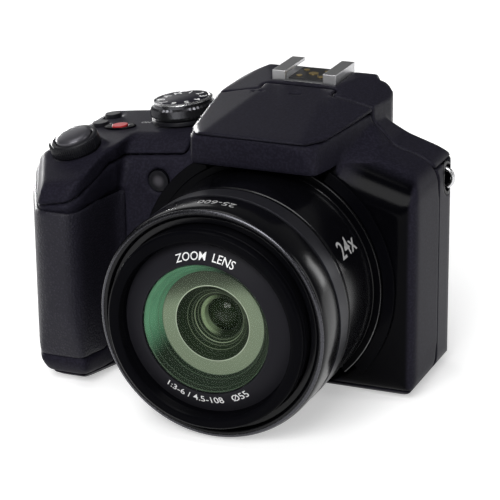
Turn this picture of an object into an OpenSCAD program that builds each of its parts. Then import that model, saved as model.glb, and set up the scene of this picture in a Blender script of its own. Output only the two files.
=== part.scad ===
// Bridge camera: casing shells, a telescoping zoom lens, a pop-up flash, controls and inner parts.
// X runs from the optical axis to the plain side, Y to the back and Z up, in millimetres.
// The origin is the mouth of the tripod socket, straight below the optical axis.

/* [Body] */
// From the optical axis to the plain side
plain_side = 48; // [46:0.5:50]
// From the optical axis to the outside of the grip
grip_side = 81; // [79:0.5:84]
// Front face ahead of the tripod socket
front_depth = 9.5; // [8.5:0.5:10.5]
// Back face behind the tripod socket
back_depth = 36.5; // [35.5:0.5:38]
// Height of the shoulder where it meets the plain side
shoulder_h = 71.5; // [70.5:0.5:72.5]
// Height of the control deck beside the hump
deck_h = 77.3; // [76.5:0.1:78.5]
// Sideways fall of the control deck towards the grip, degrees
deck_roll = 6.5; // [6:0.5:7.5]
// Casing wall
wall = 2.2; // [1.9:0.1:2.5]
// Open joint line between casing pieces
seam = 0.3; // [0.2:0.05:0.4]
// Thickness of the base cover
base_t = 3; // [2.6:0.1:3.4]
// Thickness of the control deck
deck_t = 5; // [4.5:0.1:5.5]

/* [Grip] */
// Front of the grip ahead of the tripod socket
grip_depth = 39; // [37:0.5:41]
// Inner face of the grip from the optical axis
grip_inner = 49.5; // [49:0.5:51]
// Forward slope of the shutter plateau, degrees
plateau_slope = 15; // [13:0.5:17]
// Further sideways fall of the shutter plateau, degrees
plateau_roll = 5; // [3:0.5:6]
// Thickness of the rubber skin
rubber_t = 1.2; // [0.8:0.1:1.5]
// Lower edge of the rubber skin
rubber_bottom = 10; // [8:0.5:13]
// Upper edge of the rubber skin
rubber_top = 60; // [57:0.5:62]

/* [Hump] */
// Height of the hump
hump_top = 91.2; // [90.5:0.1:92]
// Half the width of the hump
hump_half = 27.4; // [27:0.1:28]
// Front of the hump ahead of the tripod socket
hump_depth = 23; // [22:0.5:24]
// Share of the hump's rise above the lens that lies under the flash lid
lid_share = 0.619; // [0.6:0.005:0.64]
// Back of the viewfinder housing
eye_back = 46; // [45:0.5:48]
// Height of the viewfinder axis
eye_z = 73; // [72.5:0.1:73.5]

/* [Lens] */
// Height of the optical axis
lens_z = 36.6; // [36.6:0.1:38]
// Outer radius of the fixed barrel
barrel_r = 36.4; // [36:0.1:36.5]
// Front rim of the fixed barrel ahead of the tripod socket
rim_depth = 54.7; // [53:0.5:56]
// Front of the lens ahead of the tripod socket
lens_depth = 60.3; // [59.5:0.1:61]
// Nominal diameter of the filter thread
filter_d = 55; // [54:0.5:55.5]
// Radius of the front element
front_glass_r = 19.6; // [19:0.1:20]
// Sliding clearance between telescoping barrels
barrel_gap = 0.35; // [0.3:0.05:0.4]
// Travel of each telescoping barrel
zoom_travel = 30; // [24:1:30]

/* [Controls] */
// Radius of the shutter button
shutter_r = 5.8; // [5.5:0.1:6]
// Radius of the mode dial
dial_r = 10; // [9.5:0.1:10.5]
// Height of the mode dial
dial_h = 5.6; // [5.2:0.1:6.2]
// Radius of the round push buttons
button_r = 3.2; // [2.8:0.1:3.4]
// Side clearance round each moving control
play = 0.3; // [0.25:0.05:0.35]
// How far the push buttons stand proud
button_rise = 1; // [0.8:0.1:1.2]

/* [Hidden] */

$fn = 96;
big = 300;
touch = 0.01;

// Casing outlines
split_y = 15.3;
deck_edge = hump_half + 1.5;
deck_drop = (grip_side - deck_edge) * tan(deck_roll);
plateau_drop = 0.35;
rear_round = 8;
rear_top = 69;
lip_z = lens_z + barrel_r + 1.4;
surround_r = barrel_r + 6;
lens_hole_r = barrel_r + 2.5;
front_round = 9;
deck_front_r = 14.2;
shoulder_front_r = 13;
recess_half = 22;

// Flash lid and its hinge
lid_z = lip_z + lid_share * (hump_top - lip_z);
lid_h = hump_top - lid_z;
lid_wall = 1.8;
lid_back = 14.6;
lid_rise = 1.2;
hinge_y = 18;
hinge_z = hump_top - 0.406 * lid_h;
knuckle_r = 0.36 * lid_h;
knuckle_half = 12;
flash_pin_r = 0.156 * lid_h;
fit_gap = 0.05;
head_half = 15;
head_wall = 1.5;
head_front = -17;
head_back = -9;
head_rear = 2;
well_floor = lip_z + 0.346 * (lid_z - lip_z);
head_bottom = lip_z + 0.423 * (lid_z - lip_z);
head_h = lid_z - head_bottom;
tube_r = 0.23 * head_h;

// Lens barrels, with depth measured forward along the optical axis
filter_r = filter_d / 2;
// The room between the filter thread and the outside of the barrel, shared by three walls
ring_room = barrel_r - filter_r - 2 * barrel_gap;
bore_r = barrel_r - 0.34 * ring_room;
mid_r = bore_r - barrel_gap;
mid_wall = 0.21 * ring_room;
front_r = mid_r - mid_wall - barrel_gap;
front_wall = 0.27 * ring_room;
filter_len = 3.6;
band_start = 35.7;
band_end = 42;
flange_depth = front_depth - wall - seam;
cup_r = 26;
cup_wall = 2;
cup_back = -14;
chassis_y = -cup_back + 3;
barrel_overlap = 9.7;
mid_start = rim_depth - zoom_travel - barrel_overlap;
front_start = mid_start + 3;
seat_depth = lens_depth - filter_len;
sensor_r = 8;
zoom_glass_r = 10;

// Places of the controls
shutter_at = [-62.3, -14.4];
dial_at = [-38.6, 16];
record_at = [-58.5, 9];
burst_at = [-67.5, 22.5];
focus_at = [-67, 12];
lamp_out = barrel_r + 9.3;
lamp_at = [-0.81 * lamp_out, lens_z + 0.5865 * lamp_out];
lamp_r = 3.4;
pad_at = [-57, 27];
pad_r = 11;
set_r = 4.8;
lock_at = [-40, 55];
playback_at = [-40, 42];
display_at = [-40, 13];
menu_at = [-66, 9.5];
finder_at = [plain_side - 16, 63.5];
deck_buttons = [record_at, burst_at, focus_at];
back_buttons = [lock_at, playback_at, display_at, menu_at, finder_at];
wheel_r = 8;
wheel_t = 4.4;
wheel_at = [-60, back_depth - 5.6, 60.6];
power_r = 12.2;
stem_len = 7;
dial_stem_r = 4;
lever_r = 7.8;
lever_stem_r = shutter_r + 1.4;
lever_stem = stem_len + 2.6;
lever_low = 0.4;
lever_high = 4.2;
release_r = 0.154 * (lid_z - lip_z);
release_flange_r = 1.62 * release_r;
flange_t = 1;

// Hot shoe on the hump
shoe_half = 10.7;
shoe_gap = 6.4;
shoe_front = 22.6;
shoe_len = 17.6;
shoe_plate = 1;
shoe_slot = 2.1;
shoe_lip = 1;
shoe_z = hump_top - shoe_plate - 0.2;

// Screen, finder and openings below
screen_x = [-30, plain_side - 6];
screen_z = [6.5, 57];
screen_t = 1.2;
eye_half = 15.5;
eye_tall = 9.5;
cup_len = 8.6;
frame_len = 4;
knob_y = eye_back - 3.6;
knob_stem_r = 1.6;
eye_rim = 4;
door_x = [-76, -57.5];
door_y = [-14, 16];
door_t = 2.4;
door_pin_r = 0.8;
latch_x = [-73, -66];
latch_y = [-4, 6];
latch_travel = 3;
latch_t = 1.4;
terminal_y = [4, 20];
terminal_z = [28, 52];
terminal_t = 1.8;
thumb_z = [45, 57];
bush_r = 3.175;
bush_len = 7;
bush_wall = 1.7;
screw_head_r = 2.1;
screw_r = 1;
screw_spots = [[plain_side - 8, 28], [-44, 28], [plain_side - 8, 0], [-44, 4]];
eyelet_y = 24.5;
eyelet_z = 64;
grip_eyelet_z = 58;
eyelet_r = 5.3;
loop_r = 3;
loop_wire = 0.75;

// Outline helpers
function unit(v) = v / norm(v);
function flat(v) = [v[0], v[1]];
function fillet(a, b, c, r) =
  let (u = unit(flat(a) - flat(b)), v = unit(flat(c) - flat(b)), half = acos(u * v) / 2)
  let (centre = flat(b) + unit(u + v) * r / sin(half))
  let (p = flat(b) + u * r / tan(half) - centre, q = flat(b) + v * r / tan(half) - centre)
  let (start = atan2(p[1], p[0]), turn = (atan2(q[1], q[0]) - start + 540) % 360 - 180)
  let (n = max(2, ceil(abs(turn) / 10)))
  [for (k = [0 : n]) centre + r * [cos(start + turn * k / n), sin(start + turn * k / n)]];
// Each corner is [x, y, radius]; a corner without a radius stays sharp.
function rounded(corners) =
  let (n = len(corners))
  [for (k = [0 : n - 1])
    let (b = corners[k])
    each (len(b) == 3 && b[2] > 0.05)
      ? fillet(corners[(k + n - 1) % n], b, corners[(k + 1) % n], b[2]) : [flat(b)]];
function mirrored(half) =
  concat(half, [for (k = [len(half) - 1 : -1 : 0])
    len(half[k]) == 3 ? [-half[k][0], half[k][1], half[k][2]] : [-half[k][0], half[k][1]]]);

function plan_corners(i) = [
  [plain_side - i, back_depth - i, 12 - i],
  [plain_side - i, -front_depth + i, 5 - i],
  [-grip_inner - i, -front_depth + i, 7 + i],
  [-grip_inner - 3 - i, -grip_depth + i, 7 - i],
  [-grip_side + 15.5 + i / 2, -grip_depth + i, 10 - i],
  [-grip_side + i, -grip_depth + 28.5, 25],
  [-grip_side + i, back_depth - i, 13 - i]];
function front_corners(i) = [
  [plain_side - i, i, 7 - i],
  [plain_side - i, shoulder_h - i, 9 - i],
  [plain_side - 15, shoulder_h + 4.5 - i, 8],
  [hump_half - 3, shoulder_h + 13.5 - i],
  [-hump_half + 3, deck_h - i],
  [-deck_edge, deck_h - i],
  [-grip_side + i, deck_h - deck_drop - i, 15 - i],
  [-grip_side + i, i, 11 - i]];
function main_profile(i) = [
  [-front_depth + i, i, front_round - i],
  [-front_depth + i, 90],
  [back_depth - i, 90],
  [back_depth - i, i, 6 - i]];
function grip_profile(i) = [
  [-grip_depth + 6 + i, i, 13 - i],
  [-grip_depth + i, 26, 60],
  [-grip_depth + 1 + i, 90],
  [back_depth - i, 90],
  [back_depth - i, i, 6 - i]];
// The plateau's level and the rounded top of the nose, across the shutter's own frame
function plateau_profile(i) =
  let (front = (-grip_depth + 1 - shutter_at[1]) / cos(plateau_slope), lean = plateau_slope + 3)
  [[front + i - big * sin(lean), -i - big * cos(lean)], [front + i, -i, 7 - i], [big, -i], [big, -big]];
function hump_plan(i) = mirrored([
  [20.5 - i, -hump_depth + i, 5],
  [hump_half - 1.5 - i, lid_back, 30],
  [hump_half - i, back_depth - 8],
  [hump_half - 1.9 - i, back_depth - i, 4],
  [eye_half + 3.5 - i, back_depth + 0.5 - i, 3],
  [eye_half + 2.5 - i, eye_back + 10]]);
function hump_front(i) = mirrored([
  [hump_half + 1.2 - i, 58],
  [hump_half - i, hump_top - 4.6 - i, 3],
  [hump_half - 8.5 - i / 2, hump_top - i, 8]]);
function hump_side(i) = [
  [-hump_depth + 1.2 + i, lip_z + i, 1.5],
  [-hump_depth + i, lid_z + 0.5, 2],
  [-hump_depth + i, hump_top + 4],
  [hinge_y, hump_top - i],
  [shoe_front + shoe_len + 0.5, hump_top - i, 6],
  [eye_back - i, hump_top - 6 - i / 2, 4],
  [eye_back - i, eye_z - eye_tall - 2.5 + i, 4 - i],
  [back_depth - wall - 1, eye_z - eye_tall - 2.5 + i],
  [-front_depth + wall + 1, lip_z + i]];

// Solids swept along one axis
module along_x(x0, x1) {
  translate([x0, 0, 0]) rotate([90, 0, 90]) linear_extrude(x1 - x0) children();
}
module along_y(y0, y1) {
  translate([0, y1, 0]) rotate([90, 0, 0]) linear_extrude(y1 - y0) children();
}
// A turned shape on the optical axis, with its own z measured forward
module on_lens() {
  translate([0, 0, lens_z]) rotate([90, 0, 0]) children();
}
module lens_tube(r_out, r_in, h0, h1) {
  on_lens() translate([0, 0, h0]) difference() {
    cylinder(r = r_out, h = h1 - h0);
    translate([0, 0, -1]) cylinder(r = r_in, h = h1 - h0 + 2);
  }
}
module lens_rod(r, h0, h1) {
  on_lens() translate([0, 0, h0]) cylinder(r = r, h = h1 - h0);
}
module box(x, y, z) {
  translate([x[0], y[0], z[0]]) cube([x[1] - x[0], y[1] - y[0], z[1] - z[0]]);
}
// A rod along Y at a place on the back or front face
module rod_y(p, r, y0, y1) {
  translate([p[0], y0, p[1]]) rotate([-90, 0, 0]) cylinder(r = r, h = y1 - y0);
}
module rod_x(x0, x1, y, z, r) {
  translate([x0, y, z]) rotate([0, 90, 0]) cylinder(r = r, h = x1 - x0);
}
// Everything on the far side of a slanting plane
module beyond(point, normal, inset) {
  n = unit(normal);
  translate(point - n * inset) rotate([0, acos(n[2]), atan2(n[1], n[0])])
    translate([-big / 2, -big / 2, 0]) cube(big);
}

// The whole outside of the casing, drawn in by an inset for walls and skins
module body_form(i) {
  nose = [-grip_side + 5.4, -grip_depth + 23, deck_h - 12.4];
  heel = [-grip_side + 7.7, -grip_depth + 14, 9];
  rear_shoulder = [plain_side - 10.5, back_depth - 8.3, shoulder_h + 3.7];
  difference() {
    swept_body(i);
    beyond(nose, [-0.84, -0.45, 0.28], i);
    beyond(heel, [-0.8, -0.43, -0.42], i);
    beyond(heel + [1.8, 0.9, -4.7], [-0.44, -0.23, -0.87], i);
    beyond(rear_shoulder, [0.27, 0.55, 0.79], i);
    soft_front(i);
    intersection() {
      beyond([-grip_inner, -grip_depth + 12, 6], [0.62, -0.2, -0.76], i);
      box([-big, -grip_inner + 3], [-big, -front_depth - 1], [-1, big]);
    }
    on_deck([-deck_edge, 0]) along_x(-big, 0) translate([back_depth - rear_round, -rear_round]) difference() {
      square(2 * rear_round);
      circle(r = rear_round - i);
    }
  }
}
// A rounded edge between a top face and the front, as flat strips that touch one cylinder
module edge_strips(edge, top, r, i) {
  for (t = [18 : 18 : 72]) {
    n = cos(t) * top - sin(t) * [0, 1, 0];
    beyond(edge + r * ([0, 1, 0] - top + n), n, i);
  }
}
// The deck and the shoulder both roll over into the front, beside the recess above the lens
module soft_front(i) {
  intersection() {
    edge_strips([-deck_edge, -front_depth, deck_h], [-sin(deck_roll), 0, cos(deck_roll)], deck_front_r, i);
    box([-grip_inner - i, -recess_half + i], [-big, big], [0, big]);
  }
  intersection() {
    edge_strips([plain_side - 15, -front_depth, shoulder_h + 4.5], unit([4.5, 0, 15]), shoulder_front_r, i);
    box([recess_half - i, big], [-big, big], [0, big]);
  }
}
module swept_body(i) {
  intersection() {
    linear_extrude(90) polygon(rounded(plan_corners(i)));
    along_y(-60, 60) polygon(rounded(front_corners(i)));
    union() {
      along_x(-grip_inner + 8, plain_side + 5) polygon(rounded(main_profile(i)));
      along_x(-grip_side - 5, -grip_inner + 8) polygon(rounded(grip_profile(i)));
    }
    on_plateau() along_x(-big, big) polygon(rounded(plateau_profile(i)));
  }
}
module hump_form(i) {
  front_mid = [0, -hump_depth, lid_z + 0.4];
  front_side = [16.5, -hump_depth + 0.5, lid_z + 0.4];
  ridge = [10.5, lid_back - 0.6, hump_top - 1];
  tip = [hump_half - 1.9, hinge_y - 1, hump_top - 3.6];
  slope = cross([1, 0, 0], ridge - front_mid - [ridge[0], 0, 0]);
  facet = cross(tip - front_side, ridge - front_side);
  difference() {
    intersection() {
      linear_extrude(100) polygon(rounded(hump_plan(i)));
      along_y(-60, 60) polygon(rounded(hump_front(i)));
      along_x(-60, 60) polygon(rounded(hump_side(i)));
    }
    beyond(front_mid, slope, i);
    beyond(front_side, facet, i);
    mirror([1, 0, 0]) beyond(front_side, facet, i);
  }
}
module casing(i) {
  body_form(i);
  hump_form(i);
}
module shell() {
  difference() {
    casing(0);
    casing(wall);
  }
}

// Regions that divide the casing
module deck_region(gap) {
  intersection() {
    box([-big, -deck_edge + gap], [-big, big], [0, big]);
    union() {
      on_deck([-deck_edge, 0]) box([-big, big], [-big, big], [-deck_t - gap, big]);
      on_plateau() box([-big, big], [-big, big], [-deck_t - gap, big]);
    }
  }
}
module lid_region(gap) {
  intersection() {
    along_x(-big, big) polygon([
      [-big, lid_z - gap],
      [-12, lid_z - gap],
      [hinge_y + knuckle_r + 1, lid_z + lid_rise - gap],
      [hinge_y + knuckle_r + 1, big],
      [-big, big]]);
    union() {
      box([-big, big], [-big, lid_back + 2 * gap], [0, big]);
      box([-knuckle_half - gap, knuckle_half + gap], [0, hinge_y], [0, big]);
      rod_x(-knuckle_half - gap, knuckle_half + gap, hinge_y, hinge_z, knuckle_r + 2 * gap);
    }
  }
}
module rubber_region(gap) {
  box([-big, -grip_inner + 2 + gap], [-big, terminal_y[0] - 1 + gap],
      [rubber_bottom - gap, rubber_top + gap]);
}
module thumb_region(gap) {
  box([-grip_side + 9 - gap, -grip_inner - 1 + gap], [back_depth - 6, big],
      [thumb_z[0] - gap, thumb_z[1] + gap]);
}
// The viewfinder's sight line through the housing, the frame and the back
module eye_window(y0, y1) {
  box([-eye_half + eye_rim, eye_half - eye_rim], [y0, y1],
      [eye_z - eye_tall + eye_rim, eye_z + eye_tall - eye_rim]);
}
// A place on the deck, with Z square to its sideways fall
module on_deck(p) {
  translate([-deck_edge, 0, deck_h]) rotate([0, -deck_roll, 0])
    translate([(p[0] + deck_edge) / cos(deck_roll), p[1], 0]) children();
}
// The shutter's own frame, square to the sloping plateau
module on_plateau() {
  on_deck(shutter_at) translate([0, 0, -plateau_drop]) rotate([plateau_slope, -plateau_roll, 0]) children();
}

// Casing pieces
module front_cover() {
  color([0.16, 0.16, 0.18]) difference() {
    union() {
      intersection() {
        shell();
        box([-big, big], [-big, split_y - seam / 2], [base_t + seam / 2, big]);
      }
      intersection() {
        hump_form(wall - touch);
        box([-head_half - 7, head_half + 7], [-hump_depth, split_y - seam / 2],
            [well_floor - 1, well_floor]);
      }
    }
    deck_region(seam);
    lid_region(seam);
    box([-head_half - 3, head_half + 3], [-hump_depth + wall + 0.8, lid_back], [well_floor, big]);
    difference() {
      rubber_region(seam);
      body_form(rubber_t);
    }
    lens_rod(lens_hole_r, 0, front_depth + 1);
    rod_y(lamp_at, lamp_r + seam, -front_depth - 1, 0);
    release_hole();
    terminal_hole();
  }
}
module rear_cover() {
  color([0.17, 0.17, 0.19]) difference() {
    intersection() {
      shell();
      box([-big, big], [split_y + seam / 2, big], [base_t + seam / 2, rear_top]);
    }
    deck_region(seam);
    difference() {
      thumb_region(seam);
      body_form(rubber_t);
    }
    box([screen_x[0] - seam, screen_x[1] + seam], [back_depth - 8, back_depth + 1],
        [screen_z[0] - seam, screen_z[1] + seam]);
    rod_y(pad_at, pad_r + play, 20, 60);
    for (p = back_buttons) rod_y(p, button_r + play, 20, 60);
    box([wheel_at[0] - wheel_r - play, wheel_at[0] + wheel_r + play], [20, 60],
        [wheel_at[2] - play, wheel_at[2] + wheel_t + play]);
    for (s = [-1, 1]) eyelet_place(s) rotate([0, 90, 0])
      cylinder(r = eyelet_r + seam / 2, h = 20, center = true);
    terminal_hole();
    eye_window(back_depth - 4, eye_back + 1);
  }
}
module top_cover() {
  color([0.13, 0.13, 0.14]) difference() {
    union() {
      intersection() {
        difference() {
          casing(0);
          hump_form(wall);
        }
        deck_region(0);
      }
      on_plateau() translate([0, 0, -deck_t]) cylinder(r = lever_r + 0.9, h = deck_t);
    }
    on_plateau() translate([0, 0, -30]) cylinder(r = lever_stem_r + play, h = 60);
    on_deck(dial_at) translate([0, 0, -30]) cylinder(r = dial_stem_r + play, h = 60);
    for (p = deck_buttons) on_deck(p) translate([0, 0, -30]) cylinder(r = button_r - 0.6 + play, h = 60);
  }
}
module base_cover() {
  color([0.14, 0.14, 0.15]) difference() {
    intersection() {
      casing(0);
      box([-big, big], [-big, big], [0, base_t]);
    }
    door_space(seam);
    lens_rod(barrel_r + seam, flange_depth - 2.5, big / 2);
    cylinder(r = bush_r + bush_wall + seam / 2, h = 3 * base_t, center = true);
    for (p = screw_spots) translate([p[0], p[1], -1]) {
      cylinder(r = screw_head_r + 0.2, h = 2.4);
      cylinder(r = screw_r + 0.2, h = base_t + 2);
    }
  }
}
module hump_cover() {
  color([0.16, 0.16, 0.18]) difference() {
    intersection() {
      union() {
        shell();
        intersection() {
          hump_form(0);
          box([-knuckle_half - 4, knuckle_half + 4], [split_y, hinge_y + 6], [hump_top - 7, hump_top]);
        }
      }
      box([-deck_edge + seam, big], [split_y + seam / 2, big], [rear_top + seam, big]);
    }
    lid_region(seam);
    rod_x(-knuckle_half - 3, knuckle_half + 3, hinge_y, hinge_z, flash_pin_r);
    shoe_space();
    eye_window(back_depth - 4, eye_back + 1);
    rod_x(eye_half - 2, eye_half + 8, knob_y, eye_z + 2, knob_stem_r + play);
  }
}
module grip_rubber() {
  color([0.09, 0.09, 0.1]) intersection() {
    difference() {
      body_form(0);
      body_form(rubber_t);
    }
    rubber_region(0);
    box([-big, big], [-big, split_y - seam], [0, big]);
  }
}
module thumb_rubber() {
  color([0.09, 0.09, 0.1]) intersection() {
    difference() {
      body_form(0);
      body_form(rubber_t);
    }
    thumb_region(0);
  }
}

// Lens, from the casing forward
// Arcs either side of the barrel, on the flat of the front face below the hump's overhang
module side_arcs(r) {
  low = asin((lens_z - front_round) / r);
  high = asin((lip_z - 1 - lens_z) / r);
  on_lens() for (start = [-low, 180 - high]) rotate([0, 0, start])
    rotate_extrude(angle = low + high) children();
}
module lens_surround() {
  color([0.05, 0.05, 0.06]) side_arcs(surround_r) polygon([
    [lens_hole_r - 0.2, front_depth],
    [surround_r, front_depth],
    [surround_r, front_depth + 1.4],
    [lens_hole_r - 0.2, front_depth + 1.4]]);
}
module lens_base_ring() {
  outer = lens_hole_r - 0.4;
  color([0.75, 0.76, 0.78]) side_arcs(outer) polygon([
    [barrel_r + 0.05, flange_depth],
    [outer, flange_depth],
    [outer, front_depth + 2.4],
    [barrel_r + 0.05, front_depth + 2.4]]);
}
module fixed_barrel() {
  color([0.08, 0.08, 0.09]) {
    intersection() {
      lens_tube(lens_hole_r + 1.2, barrel_r - touch, flange_depth - 2, flange_depth);
      union() {
        box([-big, big], [-big, big], [front_round, lens_z + 25]);
        box([-recess_half + wall + 0.3, recess_half - wall - 0.3], [-big, big], [lens_z, well_floor - 1.4]);
      }
    }
    turned_barrel();
  }
}
module turned_barrel() {
  on_lens() rotate_extrude() polygon([
    [cup_r - cup_wall, flange_depth - 2],
    [barrel_r, flange_depth - 2],
    [barrel_r, band_start],
    [barrel_r - 1.2, band_start],
    [barrel_r - 1.2, band_end + 1],
    [barrel_r, band_end + 1],
    [barrel_r, rim_depth - 1],
    [barrel_r - 1, rim_depth],
    [bore_r + 0.6, rim_depth],
    [bore_r, rim_depth - 0.6],
    [bore_r, flange_depth],
    [cup_r - cup_wall, flange_depth]]);
}
module barrel_band() {
  color([0.34, 0.34, 0.37]) lens_tube(barrel_r + 0.15, barrel_r - 1.2, band_start + 0.1, band_end);
}
module lens_cup() {
  color([0.1, 0.1, 0.11]) on_lens() rotate_extrude() polygon([
    [sensor_r, cup_back],
    [cup_r, cup_back],
    [cup_r, flange_depth - 2],
    [cup_r - cup_wall, flange_depth - 2],
    [cup_r - cup_wall, cup_back + 2],
    [sensor_r, cup_back + 2]]);
}
module rear_lens_group() {
  color([0.55, 0.68, 0.66, 0.6]) on_lens() rotate_extrude() polygon([
    [0, cup_back + 6],
    [cup_r - cup_wall, cup_back + 6],
    [cup_r - cup_wall, cup_back + 8],
    [12, cup_back + 8],
    [6, cup_back + 9.5],
    [0, cup_back + 10]]);
}
module image_sensor() {
  color([0.15, 0.35, 0.3]) {
    box([-7, 7], [-cup_back, -cup_back + 2], [lens_z - 6, lens_z + 6]);
    lens_rod(sensor_r - 0.2, cup_back, cup_back + 1);
  }
}
module mid_barrel() {
  color([0.12, 0.12, 0.13]) on_lens() rotate_extrude() polygon([
    [zoom_glass_r, mid_start],
    [mid_r, mid_start],
    [mid_r, rim_depth - 1.2],
    [mid_r - mid_wall, rim_depth - 1.2],
    [mid_r - mid_wall, mid_start + 2],
    [zoom_glass_r, mid_start + 2]]);
}
module zoom_lens_group() {
  color([0.55, 0.68, 0.66, 0.6]) on_lens() rotate_extrude() polygon([
    [0, mid_start - 4],
    [6, mid_start - 3],
    [zoom_glass_r, mid_start - 1],
    [zoom_glass_r, mid_start + 2],
    [6, mid_start + 4.5],
    [0, mid_start + 6]]);
}
module front_barrel() {
  color([0.07, 0.07, 0.08]) on_lens() rotate_extrude() polygon([
    [front_r - front_wall, front_start],
    [front_r, front_start],
    [front_r, lens_depth - 0.8],
    [front_r - 0.8, lens_depth],
    [filter_r, lens_depth],
    [filter_r, seat_depth],
    [filter_r - 0.6, seat_depth - 1],
    [filter_r - 0.6, seat_depth - 2.4],
    [front_r - front_wall, seat_depth - 2.4]]);
}
module name_ring() {
  color([0.2, 0.2, 0.22]) on_lens() rotate_extrude() polygon([
    [front_glass_r, lens_depth - 1.6],
    [filter_r - 0.6, seat_depth - 1],
    [filter_r - 0.6, seat_depth - 2.4],
    [front_r - front_wall, seat_depth - 2.4],
    [front_r - front_wall, seat_depth - 4],
    [front_glass_r - 1.5, seat_depth - 4],
    [front_glass_r - 1.5, lens_depth - 4.2],
    [front_glass_r, lens_depth - 4.2]]);
}
module front_element() {
  color([0.35, 0.55, 0.5, 0.5]) intersection() {
    lens_rod(front_glass_r, lens_depth - 4.2, lens_depth);
    on_lens() translate([0, 0, lens_depth - 0.7 - 90]) sphere(r = 90, $fn = 180);
  }
}
module second_element() {
  color([0.3, 0.5, 0.46, 0.5]) union() {
    lens_rod(front_r - front_wall, seat_depth - 9, seat_depth - 7);
    lens_rod(11, seat_depth - 7, seat_depth - 6.4);
  }
}
module focus_lamp() {
  color([0.75, 0.3, 0.12]) {
    rod_y(lamp_at, lamp_r, -front_depth + 0.4, -front_depth + wall + 1.2);
    rod_y(lamp_at, lamp_r + 1, -front_depth + wall + 1.2, -front_depth + wall + 1.2 + flange_t);
  }
}

// Flash
module flash_lid() {
  color([0.17, 0.17, 0.19]) difference() {
    union() {
      difference() {
        intersection() {
          hump_form(0);
          lid_region(0);
        }
        hump_form(lid_wall);
      }
      intersection() {
        hump_form(0);
        rod_x(-knuckle_half, knuckle_half, hinge_y, hinge_z, knuckle_r);
      }
      intersection() {
        hump_form(lid_wall - touch);
        box([-head_half, head_half], [head_front, head_back], [lid_z, big]);
      }
    }
    rod_x(-big, big, hinge_y, hinge_z, flash_pin_r + fit_gap);
    for (x = [-12, 0.8])
      box([x - 2, x + 2], [lid_back - 2.6, lid_back - 1.8], [0, big]);
  }
}
// The hollow of the flash head between two depths
module flash_space(y0, y1) {
  box([-head_half + head_wall, head_half - head_wall], [y0, y1], [head_bottom + head_h / 6, lid_z - head_h / 8]);
}
module flash_head() {
  color([0.1, 0.1, 0.11]) difference() {
    box([-head_half, head_half], [head_front, head_back], [head_bottom, lid_z]);
    flash_space(head_front - 1, head_back - head_rear);
  }
}
module flash_window() {
  color([0.85, 0.88, 0.9, 0.5])
    flash_space(head_front, head_front + 1.2);
}
module flash_tube() {
  color([0.9, 0.9, 0.85])
    rod_x(-head_half + head_wall, head_half - head_wall, head_back - head_rear - tube_r, (head_bottom + lid_z) / 2,
          tube_r);
}
module hinge_pins() {
  color([0.7, 0.7, 0.72]) {
    rod_x(-knuckle_half - 3, knuckle_half + 3, hinge_y, hinge_z, flash_pin_r);
    rod_y([door_x[1], door_t / 2], door_pin_r, door_y[0] - seam, door_y[1] + seam);
  }
}
module flash_capacitor() {
  color([0.12, 0.12, 0.2]) rod_y([plain_side - 9.5, 55], 5.5, chassis_y - 15, chassis_y);
}
// Release button on the grip side of the hump
module release_place() {
  translate([-hump_half + 3.1, 4, lip_z + 0.654 * (lid_z - lip_z)]) rotate([0, -90, 8]) children();
}
module release_hole() {
  release_place() cylinder(r = release_r + play, h = 12, center = true);
}
module flash_release() {
  color([0.25, 0.25, 0.27]) release_place() {
    translate([0, 0, -3.4]) cylinder(r = release_r, h = 4.4);
    translate([0, 0, -4.2]) cylinder(r = release_flange_r, h = 1);
  }
}

// Hot shoe
module shoe_space() {
  box([-shoe_half, shoe_half], [shoe_front, shoe_front + shoe_len], [shoe_z, hump_top + 10]);
}
module hot_shoe() {
  color([0.78, 0.79, 0.8]) difference() {
    box([-shoe_half, shoe_half], [shoe_front, shoe_front + shoe_len],
        [shoe_z, shoe_z + shoe_plate + shoe_slot + shoe_lip]);
    box([-shoe_half + 1.2, shoe_half - 1.2], [shoe_front + 1.5, big],
        [shoe_z + shoe_plate, shoe_z + shoe_plate + shoe_slot]);
    box([-shoe_gap, shoe_gap], [0, big], [shoe_z + shoe_plate, big]);
  }
}
module hot_shoe_contacts() {
  base = shoe_z + shoe_plate;
  y = shoe_front + shoe_len / 2;
  color([0.1, 0.1, 0.1])
    box([-shoe_gap + 0.4, shoe_gap - 0.4], [shoe_front + 2, shoe_front + shoe_len - 2], [base, base + 0.5]);
  color([0.8, 0.65, 0.25]) {
    translate([0, y, base + 0.5]) cylinder(r = 1.6, h = 0.2);
    for (s = [-1, 1], k = [-1, 1]) translate([s * 3.6, y + k * 3.4, base + 0.5])
      cylinder(r = 1, h = 0.2);
  }
}

// Controls on the deck
module zoom_lever() {
  color([0.06, 0.06, 0.07]) on_plateau() difference() {
    union() {
      translate([0, 0, lever_low]) cylinder(r = lever_r, h = lever_high - lever_low);
      translate([0, 0, -lever_stem]) cylinder(r = lever_stem_r, h = lever_stem + lever_low);
      translate([0, 0, -lever_stem]) cylinder(r = lever_stem_r + 1.2, h = flange_t);
      for (a = [-24 : 8 : 24]) rotate([0, 0, a - 90]) translate([lever_r - 1, -0.45, lever_low])
        cube([1.9, 0.9, lever_high - lever_low - 0.3]);
      intersection() {
        translate([0, 0, lever_low]) cylinder(r = lever_r + 0.5, h = lever_high - lever_low - 0.6);
        rotate([0, 0, -90 - 28]) cube([big, big, big]);
        rotate([0, 0, -90 - 62]) cube([big, big, big]);
      }
    }
    translate([0, 0, -lever_stem - 1]) cylinder(r = shutter_r + play, h = 40);
  }
}
module shutter_button() {
  color([0.3, 0.3, 0.32]) on_plateau() difference() {
    translate([0, 0, -stem_len + 1]) union() {
      cylinder(r = shutter_r, h = stem_len + 3.6);
      translate([0, 0, stem_len + 3.6]) cylinder(r1 = shutter_r, r2 = shutter_r - 0.8, h = 0.8);
    }
    translate([0, 0, 5.4 + 38]) sphere(r = 38.5, $fn = 120);
  }
}
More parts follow.
